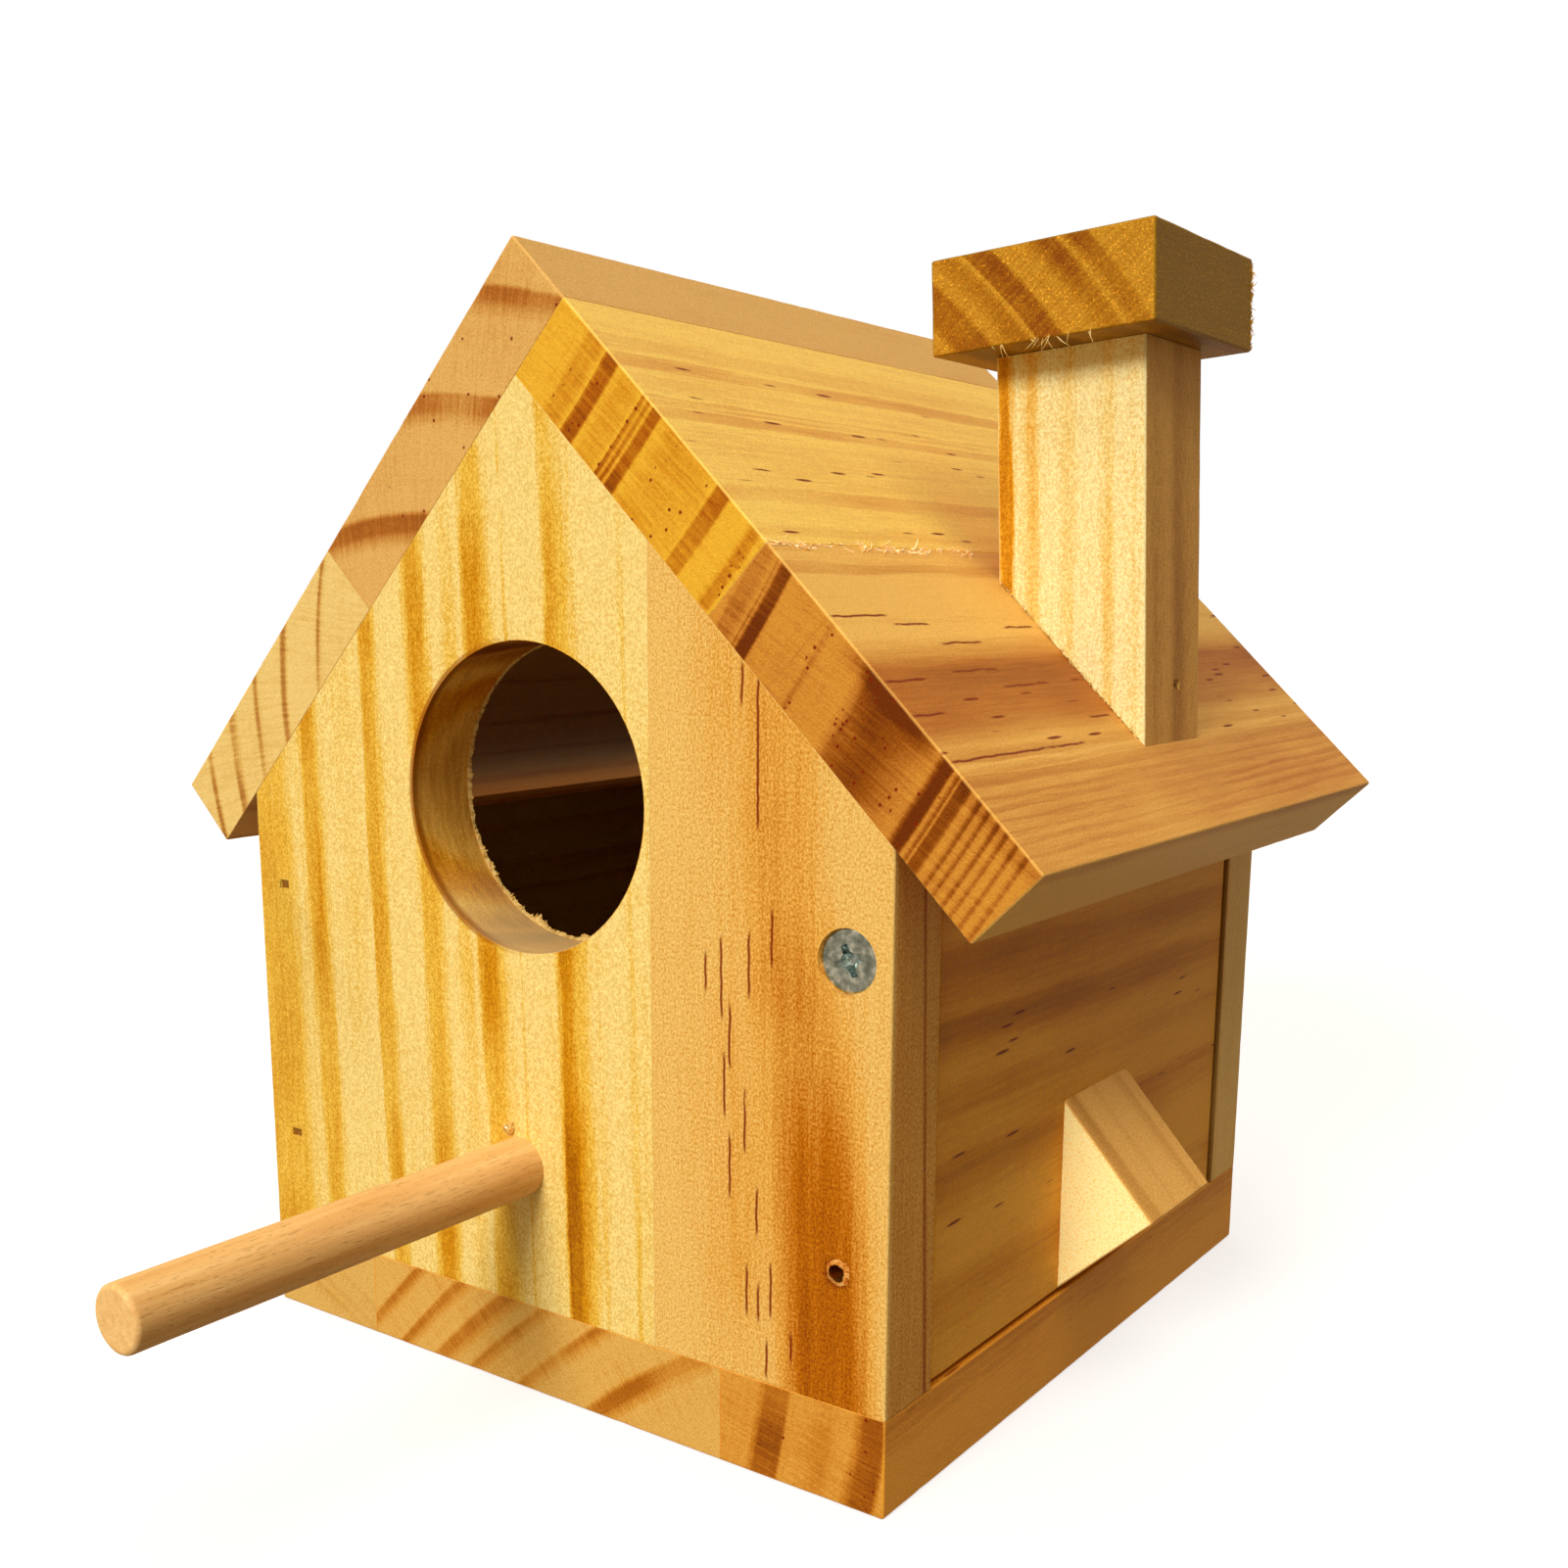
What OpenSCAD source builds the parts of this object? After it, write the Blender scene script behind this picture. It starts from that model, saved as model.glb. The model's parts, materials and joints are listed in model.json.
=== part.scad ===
// Birdhouse: a small gabled nest box of edge-glued pine boards on a flat base.
// The right side wall is a clean-out door that swings out on two screws.
// Origin: centre of the base's underside. +X right, +Y to the back, +Z up.

/* [House] */
// Width of the house over its side walls
body_w = 108; // [100:1:120]
// Depth of the house and its roof, front face to back face
body_d = 114.5; // [100:0.5:130]
// Height of the shoulders, where the gable starts
shoulder_z = 79; // [76:1:90]
// Thickness of the wall boards
board_t = 11; // [10:0.5:12]
// Thickness of the base board
base_t = 12.4; // [10:0.1:13]
// Height of the top edge of the left wall, below the shoulders to leave an air gap
wall_top_z = 74.5; // [70:0.5:75]

/* [Roof] */
// Thickness of the roof boards
roof_t = 11.4; // [10:0.1:13]
// Slope length of the left roof board, from the ridge
roof_left_run = 98.5; // [92:0.5:110]
// Slope length of the right roof board, from the ridge
roof_right_run = 101; // [92:1:110]

/* [Glued joints] */
// Joint between the left and the middle stave of the base
base_joint_left = -32.5; // [-40:0.5:-20]
// Joint between the middle and the right stave of the base
base_joint_right = 30.5; // [20:0.5:40]
// Joint between the two staves of the front panel
front_joint = 20.2; // [20.2:0.1:24]
// Joint between the two staves of the back panel
back_joint = -14; // [-30:1:30]
// Joint in the left roof board, down the slope from the ridge
roof_left_joint = 50.5; // [30:0.5:60]
// Joint in the right roof board, down the slope from the ridge
roof_right_joint = 52.5; // [40:0.5:60]

/* [Entrance and perch] */
// Radius of the entrance hole
entrance_r = 20; // [15:0.5:20]
// Entrance hole, sideways from the centre
entrance_x = -0.6; // [-2:0.1:0]
// Entrance hole's centre above the ground
entrance_z = 81.3; // [76:0.1:84]
// Radius of the perch dowel
perch_r = 4; // [3:0.5:5]
// Perch, sideways from the centre
perch_x = -2.3; // [-3:0.1:3]
// Perch's axis above the ground
perch_z = 32; // [26:0.5:40]
// How far the perch stands out in front
perch_out = 62.7; // [40:0.1:80]

/* [Door] */
// How far the door's outer face lies inside the side of the house
door_recess = 0.4; // [0.4:0.1:2]
// Gap between the door and the panels in front of it and behind it
door_side_gap = 0.5; // [0.4:0.1:1]
// Gap between the door and the base
door_foot_gap = 0.7; // [0.6:0.1:2]
// Height of the door's top edge above the ground
door_top_z = 74.5; // [72:0.5:75]
// Height of the pivot screws above the ground
pivot_z = 66; // [62:0.5:66]
// Protrusion of the handle, a block sawn corner to corner with the cut face on the door
handle_out = 12.9; // [10:0.1:15]
// Height of the handle's outer edge above its foot
handle_rise = 12.1; // [8:0.1:15]
// Height of the whole handle
handle_h = 26.8; // [24:0.1:32]
// Front end of the handle, from the middle of the house
handle_front = -10.6; // [-30:0.1:0]
// Length of the handle
handle_len = 20.6; // [14:0.1:35]
// Height of the handle's foot above the ground
handle_foot_z = 13.1; // [13.1:0.1:30]
// Height of the lock hole above the ground
lock_z = 29; // [24:0.5:34]
// Radius of the lock hole
lock_r = 1.2; // [0.8:0.1:1.5]

/* [Chimney] */
// Width of the chimney post, across the house
post_w = 20; // [14:0.5:24]
// Depth of the chimney post, front to back
post_d = 18.3; // [14:0.1:24]
// Length of the chimney post along its axis
post_len = 39; // [30:1:50]
// Place of the post's foot, sideways from the centre
post_x = 51.4; // [46:0.1:54]
// Lean of the chimney towards the ridge
chimney_lean = 2.5; // [0:0.1:4]
// Width of the chimney cap
cap_w = 29.3; // [24:0.1:34]
// Depth of the chimney cap
cap_d = 32.5; // [26:0.5:38]
// Height of the chimney cap
cap_h = 11.7; // [8:0.1:16]
// How far the cap sits off the post's axis, towards the ridge
cap_offset = 0.7; // [0:0.1:3]

/* [Hidden] */
$fn = 96;

half_w = body_w / 2;
front_y = -body_d / 2;
back_y = body_d / 2;
inner_d = body_d - 2 * board_t;
apex_z = shoulder_z + half_w;
peak_z = apex_z + roof_t * sqrt(2);
roof_pitch = 45;
over = 1;

door_outer_x = half_w - door_recess;
door_inner_x = door_outer_x - board_t;
pivot_x = door_outer_x - board_t / 2;
lock_x = pivot_x - 0.8;
lock_depth = 12;

// Countersunk wood screw that the door swings on
screw_r = 2;
screw_core_r = 1.35;
screw_thread_r = 1.95;
screw_thread_pitch = 1.8;
screw_threads = 8;
screw_tip_len = 3;
screw_head_r = 3.75;
screw_sunk = 0.5;
screw_play = 0.08;
screw_shank_len = board_t + 1.5;
screw_thread_len = 17;
cross_w = 0.9;
cross_span = 4.4;
cross_depth = 1.4;

// Headed brads of flat wire, width and thickness: every brad is sunk a little below the wood
brad_wire = [1.25, 1];
brad_head = [2, 1.25];
brad_head_t = 0.7;
brad_len = 20;
brad_short_len = 14;
brad_sunk = 0.4;

pine = "#e0a23c";
pine_pale = "#ecc36a";
pine_dark = "#c9822a";
beech = "#dcb078";
zinc = "#b9bcc0";
steel = "#8d9093";

wall_brad_x = -half_w + board_t / 2;
wall_brad_zs = [28, 66];
base_brad_xs = [-40, 2, 38];
base_brad_ys = [-24, 24];
roof_brad_runs = [24, 78];
ridge_brad_ys = [-34, 0, 34];
cap_brad_ys = [-5, 5];
handle_brad_gap = 10;
post_brad_y = 1.3;
post_brad_rise = 6.4;
post_brad_tilt = 60;

// ---------------------------------------------------------------- helpers

// One brad, its head at the origin, driven along -Z
module brad(len = brad_len) {
    translate([0, 0, -brad_sunk - len]) linear_extrude(height = len) square(brad_wire, center = true);
    translate([0, 0, -brad_sunk - brad_head_t])
        linear_extrude(height = brad_head_t) square(brad_head, center = true);
}

// The hole that a brad leaves, open at its head end
module brad_hole(len = brad_len) {
    brad(len);
    translate([0, 0, -brad_sunk])
        linear_extrude(height = brad_sunk + over) square(brad_head, center = true);
}

// Places its child at each base brad, which is driven up through the base
module at_base_brads() {
    for (x = base_brad_xs, y = [front_y + board_t / 2, back_y - board_t / 2])
        translate([x, y, 0]) rotate([180, 0, 0]) children();
    for (y = base_brad_ys)
        translate([wall_brad_x, y, 0]) rotate([180, 0, 0]) children();
}

// Places its child at each brad through the front and back panels into the left wall
module at_wall_brads() {
    for (z = wall_brad_zs) {
        translate([wall_brad_x, front_y, z]) rotate([90, 0, 0]) children();
        translate([wall_brad_x, back_y, z]) rotate([-90, 0, 0]) children();
    }
}

// Moves its children to the ridge, with X down the right slope and Z square to it
module on_right_slope() {
    translate([0, 0, peak_z]) rotate([0, roof_pitch, 0]) children();
}

// The same on the left slope
module on_left_slope() {
    mirror([1, 0, 0]) on_right_slope() children();
}

// Places its child at each brad through the left roof board into the gables
module at_slope_brads() {
    on_left_slope() for (run = roof_brad_runs, y = [front_y + board_t / 2, back_y - board_t / 2])
        translate([run, y, 0]) children();
}

// Places its child at each brad through the left roof board into the right board's edge
module at_ridge_brads() {
    on_left_slope() for (y = ridge_brad_ys) translate([roof_t / 2, y, 0]) children();
}

// Moves its children to the post's foot, with Z along the leaning chimney
module on_chimney() {
    translate([post_x, 0, peak_z - post_x]) rotate([0, -chimney_lean, 0]) children();
}

// Places its child at each brad through the cap into the post
module at_cap_brads() {
    on_chimney() for (y = cap_brad_ys) translate([0, y, post_len + cap_h]) children();
}

// Places its child at the brad driven askew through the post's foot into the roof
module at_post_brad() {
    on_chimney() translate([post_w / 2, post_brad_y, post_brad_rise - post_w / 2])
        rotate([0, post_brad_tilt, 0]) rotate([0, 0, 90]) children();
}

// Places its child at each brad driven from inside the door into the handle
module at_handle_brads() {
    for (side = [-1, 1])
        translate([door_inner_x, handle_front + (handle_len + side * handle_brad_gap) / 2,
                   handle_foot_z + handle_rise])
            rotate([0, -90, 0]) children();
}

// Places its child at the front pivot screw, Z pointing out of the front panel
module at_front_pivot() {
    translate([pivot_x, front_y, pivot_z]) rotate([90, 0, 0]) children();
}

// Places its child at the rear pivot screw, Z pointing out of the back panel
module at_rear_pivot() {
    translate([pivot_x, back_y, pivot_z]) rotate([-90, 0, 0]) children();
}

// Countersunk clearance hole that a pivot screw turns in
module pivot_hole() {
    seat_r = screw_head_r + screw_play;
    neck_r = screw_r + screw_play;
    translate([0, 0, -board_t - over]) cylinder(h = board_t + 2 * over, r = neck_r);
    translate([0, 0, -screw_sunk - (seat_r - neck_r)])
        cylinder(h = seat_r - neck_r, r1 = neck_r, r2 = seat_r);
    translate([0, 0, -screw_sunk]) cylinder(h = screw_sunk + over, r = seat_r);
}

// Outline of the front and back panels, X across and Y up
module gable_outline() {
    polygon([[-half_w, base_t], [half_w, base_t], [half_w, shoulder_z],
             [0, apex_z], [-half_w, shoulder_z]]);
}

// The part of a gable panel between two joints, its front face at y
module gable_stave(x_from, x_to, y) {
    translate([0, y + board_t, 0]) rotate([90, 0, 0]) linear_extrude(height = board_t)
        intersection() {
            gable_outline();
            translate([x_from, 0]) square([x_to - x_from, peak_z]);
        }
}

// A stave of a roof board between two distances down the slope
module slope_stave(run_from, run_to) {
    translate([run_from, front_y, -roof_t]) cube([run_to - run_from, body_d, roof_t]);
}

// A stave of the base between two joints, with its brad holes
module base_stave(x_from, x_to) {
    difference() {
        translate([x_from, front_y, 0]) cube([x_to - x_from, body_d, base_t]);
        at_base_brads() brad_hole();
    }
}

// Wood screw, its head's rim at the origin, pointing down -Z
module pivot_screw() {
    thread_top = -screw_shank_len;
    translate([0, 0, -screw_sunk]) difference() {
        union() {
            cone = screw_head_r - screw_r;
            translate([0, 0, -cone]) cylinder(h = cone, r1 = screw_r, r2 = screw_head_r);
            translate([0, 0, thread_top + screw_sunk])
                cylinder(h = screw_shank_len - screw_sunk, r = screw_r);
        }
        for (turn = [0, 90]) rotate([0, 0, turn])
            translate([-cross_span / 2, -cross_w / 2, -cross_depth])
                cube([cross_span, cross_w, cross_depth + over]);
    }
    translate([0, 0, thread_top - screw_thread_len])
        cylinder(h = screw_thread_len, r = screw_core_r);
    translate([0, 0, thread_top - screw_thread_len - screw_tip_len])
        cylinder(h = screw_tip_len, r1 = 0.2, r2 = screw_core_r);
    for (i = [0 : screw_threads - 1])
        translate([0, 0, thread_top - (i + 1) * screw_thread_pitch]) {
            cylinder(h = screw_thread_pitch / 3, r1 = screw_core_r, r2 = screw_thread_r);
            translate([0, 0, screw_thread_pitch / 3])
                cylinder(h = screw_thread_pitch / 6, r1 = screw_thread_r, r2 = screw_core_r);
        }
}

// Pilot hole for a pivot screw in the door's edge
module pivot_pilot() {
    depth = screw_shank_len + screw_thread_len + screw_tip_len + over;
    translate([0, 0, -depth]) cylinder(h = depth, r = screw_core_r);
    translate([0, 0, -screw_shank_len]) cylinder(h = screw_shank_len, r = screw_r);
}

// ---------------------------------------------------------------- base

module base_stave_left() { color(pine) base_stave(-half_w, base_joint_left); }

module base_stave_middle() { color(pine_pale) base_stave(base_joint_left, base_joint_right); }

module base_stave_right() { color(pine_dark) base_stave(base_joint_right, half_w); }

// ---------------------------------------------------------------- walls

// Front stave with the entrance hole and the perch hole
module front_stave_left() {
    color(pine_pale) difference() {
        gable_stave(-half_w, front_joint, front_y);
        translate([entrance_x, front_y + board_t + over, entrance_z]) rotate([90, 0, 0])
            cylinder(h = board_t + 2 * over, r = entrance_r);
        translate([perch_x, front_y + board_t + over, perch_z]) rotate([90, 0, 0])
            cylinder(h = board_t + 2 * over, r = perch_r);
        at_wall_brads() brad_hole();
        at_base_brads() brad_hole();
        at_slope_brads() brad_hole();
    }
}

// Front stave with the door's pivot hole and lock hole
module front_stave_right() {
    color(pine) difference() {
        gable_stave(front_joint, half_w, front_y);
        at_front_pivot() pivot_hole();
        translate([lock_x, front_y + board_t + over, lock_z]) rotate([90, 0, 0])
            cylinder(h = board_t + 2 * over, r = lock_r);
        at_base_brads() brad_hole();
    }
}

module back_stave_left() {
    color(pine) difference() {
        gable_stave(-half_w, back_joint, back_y - board_t);
        at_wall_brads() brad_hole();
        at_base_brads() brad_hole();
        at_slope_brads() brad_hole();
    }
}

module back_stave_right() {
    color(pine_pale) difference() {
        gable_stave(back_joint, half_w, back_y - board_t);
        at_rear_pivot() pivot_hole();
        at_base_brads() brad_hole();
        at_slope_brads() brad_hole();
    }
}

module left_wall() {
    color(pine) difference() {
        translate([-half_w, -inner_d / 2, base_t]) cube([board_t, inner_d, wall_top_z - base_t]);
        at_wall_brads() brad_hole();
        at_base_brads() brad_hole();
    }
}

// ---------------------------------------------------------------- roof

// The left board covers the right board's upper edge at the ridge, and is nailed to it:
// the right board's own face carries no brads, because it is glued down
module roof_left_upper() {
    color(pine_pale) difference() {
        on_left_slope() slope_stave(0, roof_left_joint);
        at_slope_brads() brad_hole();
        at_ridge_brads() brad_hole();
    }
}

module roof_left_lower() {
    color(pine) difference() {
        on_left_slope() slope_stave(roof_left_joint, roof_left_run);
        at_slope_brads() brad_hole();
    }
}

module roof_right_upper() {
    color(pine_pale) difference() {
        on_right_slope() slope_stave(roof_t, roof_right_joint);
        at_ridge_brads() brad_hole();
    }
}

module roof_right_lower() {
    color(pine_dark) difference() {
        on_right_slope() slope_stave(roof_right_joint, roof_right_run);
        at_post_brad() brad_hole(brad_short_len);
    }
}

// ---------------------------------------------------------------- chimney and perch

// Square post, its foot cut to the slope of the roof
module chimney_post() {
    color(pine_pale) difference() {
        on_chimney() translate([-post_w / 2, -post_d / 2, -post_w])
            cube([post_w, post_d, post_len + post_w]);
        on_right_slope() translate([0, -body_d, -2 * post_w]) cube([2 * body_w, 2 * body_d, 2 * post_w]);
        at_post_brad() brad_hole(brad_short_len);
        at_cap_brads() brad_hole();
    }
}

module chimney_cap() {
    color(pine) difference() {
        on_chimney() translate([-cap_w / 2 - cap_offset, -cap_d / 2, post_len])
            cube([cap_w, cap_d, cap_h]);
        at_cap_brads() brad_hole();
    }
}

// Dowel with slightly broken edges, glued into the front panel
module perch() {
    edge = 0.4;
    len = perch_out + board_t;
    color(beech) translate([perch_x, front_y + board_t, perch_z]) rotate([90, 0, 0]) {
        cylinder(h = len - edge, r = perch_r);
        translate([0, 0, len - edge]) cylinder(h = edge, r1 = perch_r, r2 = perch_r - edge);
    }
}

// ---------------------------------------------------------------- brads

module base_brads() { color(steel) at_base_brads() brad(); }

module wall_brads() { color(steel) at_wall_brads() brad(); }

module roof_brads() { color(steel) at_slope_brads() brad(); }

module ridge_brads() { color(steel) at_ridge_brads() brad(); }

module chimney_brads() {
    color(steel) {
        at_cap_brads() brad();
        at_post_brad() brad(brad_short_len);
    }
}

// ---------------------------------------------------------------- door

module side_door() {
    color(pine_dark) difference() {
        translate([door_inner_x, -inner_d / 2 + door_side_gap, base_t + door_foot_gap])
            cube([board_t, inner_d - 2 * door_side_gap, door_top_z - base_t - door_foot_gap]);
        at_front_pivot() pivot_pilot();
        at_rear_pivot() pivot_pilot();
        translate([lock_x, -inner_d / 2 + door_side_gap + lock_depth, lock_z]) rotate([90, 0, 0])
            cylinder(h = lock_depth + over, r = lock_r);
        at_handle_brads() brad_hole();
    }
}

// Three-cornered block, its widest side on the door
module door_handle() {
    color(pine) difference() {
        translate([door_outer_x, handle_front + handle_len, handle_foot_z]) rotate([90, 0, 0])
            linear_extrude(height = handle_len)
                polygon([[0, 0], [handle_out, handle_rise], [0, handle_h]]);
        at_handle_brads() brad_hole();
    }
}

module handle_brads() { color(steel) at_handle_brads() brad(); }

module pivot_screw_front() { color(zinc) at_front_pivot() pivot_screw(); }

module pivot_screw_rear() { color(zinc) at_rear_pivot() pivot_screw(); }

// ---------------------------------------------------------------- output

base_stave_left();
base_stave_middle();
base_stave_right();
front_stave_left();
front_stave_right();
back_stave_left();
back_stave_right();
left_wall();
roof_left_upper();
roof_left_lower();
roof_right_upper();
roof_right_lower();
chimney_post();
chimney_cap();
perch();
base_brads();
wall_brads();
roof_brads();
ridge_brads();
chimney_brads();
side_door();
door_handle();
handle_brads();
pivot_screw_front();
pivot_screw_rear();
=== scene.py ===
# Looks of the birdhouse: varnished pine boards, a bare beech perch and zinc screws.
# Lengths are millimetres until a mesh is made; objects are in metres in the frame's axes:
# +X right, +Y to the back, +Z up, origin under the middle of the base.
import json
import math
import random
from dataclasses import dataclass

import bmesh
import bpy
from mathutils import Matrix, Vector, noise
from mathutils.bvhtree import BVHTree

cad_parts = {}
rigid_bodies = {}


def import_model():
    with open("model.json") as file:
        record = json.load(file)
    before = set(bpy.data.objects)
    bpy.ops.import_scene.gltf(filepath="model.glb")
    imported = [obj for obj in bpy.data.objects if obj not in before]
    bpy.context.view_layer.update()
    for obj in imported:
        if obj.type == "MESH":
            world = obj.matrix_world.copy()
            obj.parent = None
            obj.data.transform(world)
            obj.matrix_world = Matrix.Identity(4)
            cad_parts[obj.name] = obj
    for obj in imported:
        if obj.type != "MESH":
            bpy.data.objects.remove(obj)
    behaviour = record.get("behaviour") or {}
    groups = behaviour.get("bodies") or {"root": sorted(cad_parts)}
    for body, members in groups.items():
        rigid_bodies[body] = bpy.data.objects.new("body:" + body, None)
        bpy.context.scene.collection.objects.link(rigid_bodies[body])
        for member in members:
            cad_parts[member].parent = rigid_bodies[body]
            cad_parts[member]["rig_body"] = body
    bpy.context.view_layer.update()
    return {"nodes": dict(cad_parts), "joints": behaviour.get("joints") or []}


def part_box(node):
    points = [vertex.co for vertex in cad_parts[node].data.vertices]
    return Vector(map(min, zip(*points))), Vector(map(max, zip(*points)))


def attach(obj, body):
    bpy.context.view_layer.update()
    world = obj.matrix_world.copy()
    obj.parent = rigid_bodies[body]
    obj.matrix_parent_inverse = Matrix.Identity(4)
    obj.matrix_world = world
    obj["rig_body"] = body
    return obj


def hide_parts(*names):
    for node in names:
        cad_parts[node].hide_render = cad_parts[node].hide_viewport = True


MM = 0.001
X, Y, Z = Vector((1, 0, 0)), Vector((0, 1, 0)), Vector((0, 0, 1))

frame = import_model()
nodes = frame["nodes"]


# ---- places taken from the frame

def low(node):
    """Lowest corner of a CAD node, in millimetres."""
    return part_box(node)[0] / MM


def high(node):
    """Highest corner of a CAD node, in millimetres."""
    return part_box(node)[1] / MM


front_y = low("front_stave_left").y
back_y = high("back_stave_left").y
side_x = high("front_stave_right").x
board_t = high("front_stave_left").y - front_y
door_x = high("side_door").x
peak = Vector((0, 0, high("roof_left_upper").z))
down_right = Vector((1, 0, -1)).normalized()
down_left = Vector((-1, 0, -1)).normalized()
perch_low, perch_high = low("perch"), high("perch")
perch_x = (perch_low.x + perch_high.x) / 2
perch_z = (perch_low.z + perch_high.z) / 2
perch_r = (perch_high.z - perch_low.z) / 2
handle_low, handle_high = low("door_handle"), high("door_handle")
handle_out = handle_high.x - door_x
pivot = Vector(frame["joints"][0]["pos_m"]) / MM
# Down the right slope from the ridge to the glued joint
roof_joint = high("roof_right_upper").x * math.sqrt(2)
slope_up = Vector((1, 0, 1)).normalized()

# What the boxes don't tell: the two holes, how far the handle's sloping side comes down, the
# chimney's lean and its sizes along that lean
entrance = Vector((-0.6, front_y, 81.3))
entrance_r = 20.0
lock_hole = Vector((47.3, front_y, 29))
lock_hole_r = 1.2
handle_drop = 14.7
lean = math.radians(2.5)
chimney_up = Vector((-math.sin(lean), 0, math.cos(lean)))
chimney_right = Vector((math.cos(lean), 0, math.sin(lean)))
post_x = 51.4
chimney_foot = Vector((post_x, 0, peak.z - post_x))
post_w, post_d, post_len = 20.0, 18.3, 39.0
cap_h, cap_right = 11.7, 13.95
cap_front, cap_back = -low("chimney_cap").y, high("chimney_cap").y


# ---- camera and light

def camera():
    """The viewing angle: from the front right, a little above the house."""
    azimuth, elevation, roll = (math.radians(a) for a in (38.576, 11.014, -0.598))
    eye = Vector((143.996, -212.817, 103.967))
    back = Vector((math.sin(azimuth) * math.cos(elevation),
                   -math.cos(azimuth) * math.cos(elevation), math.sin(elevation)))
    right = Vector((math.cos(azimuth), math.sin(azimuth), 0))
    up = back.cross(right)
    right, up = (right * math.cos(roll) + up * math.sin(roll),
                 up * math.cos(roll) - right * math.sin(roll))
    data = bpy.data.cameras.new("camera")
    data.sensor_width = 36
    data.lens = 38.1811
    data.shift_x = 0.0862
    data.shift_y = 0.09994
    data.clip_start = 0.01
    obj = bpy.data.objects.new("camera", data)
    turn = Matrix((right, up, back)).transposed().to_4x4()
    obj.matrix_world = Matrix.Translation(eye * MM) @ turn
    bpy.context.scene.collection.objects.link(obj)
    bpy.context.scene.camera = obj


def sun(name, azimuth, elevation, strength, softness, colour):
    """Distant lamp; azimuth 0 shines from the front and 90 from the right."""
    a, e = math.radians(azimuth), math.radians(elevation)
    data = bpy.data.lights.new(name, "SUN")
    data.energy = strength
    data.angle = math.radians(softness)
    data.color = colour
    obj = bpy.data.objects.new(name, data)
    source = Vector((math.sin(a) * math.cos(e), -math.cos(a) * math.cos(e), math.sin(e)))
    obj.rotation_euler = source.to_track_quat("Z", "Y").to_euler()
    bpy.context.scene.collection.objects.link(obj)


# ---- material graphs

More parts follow.
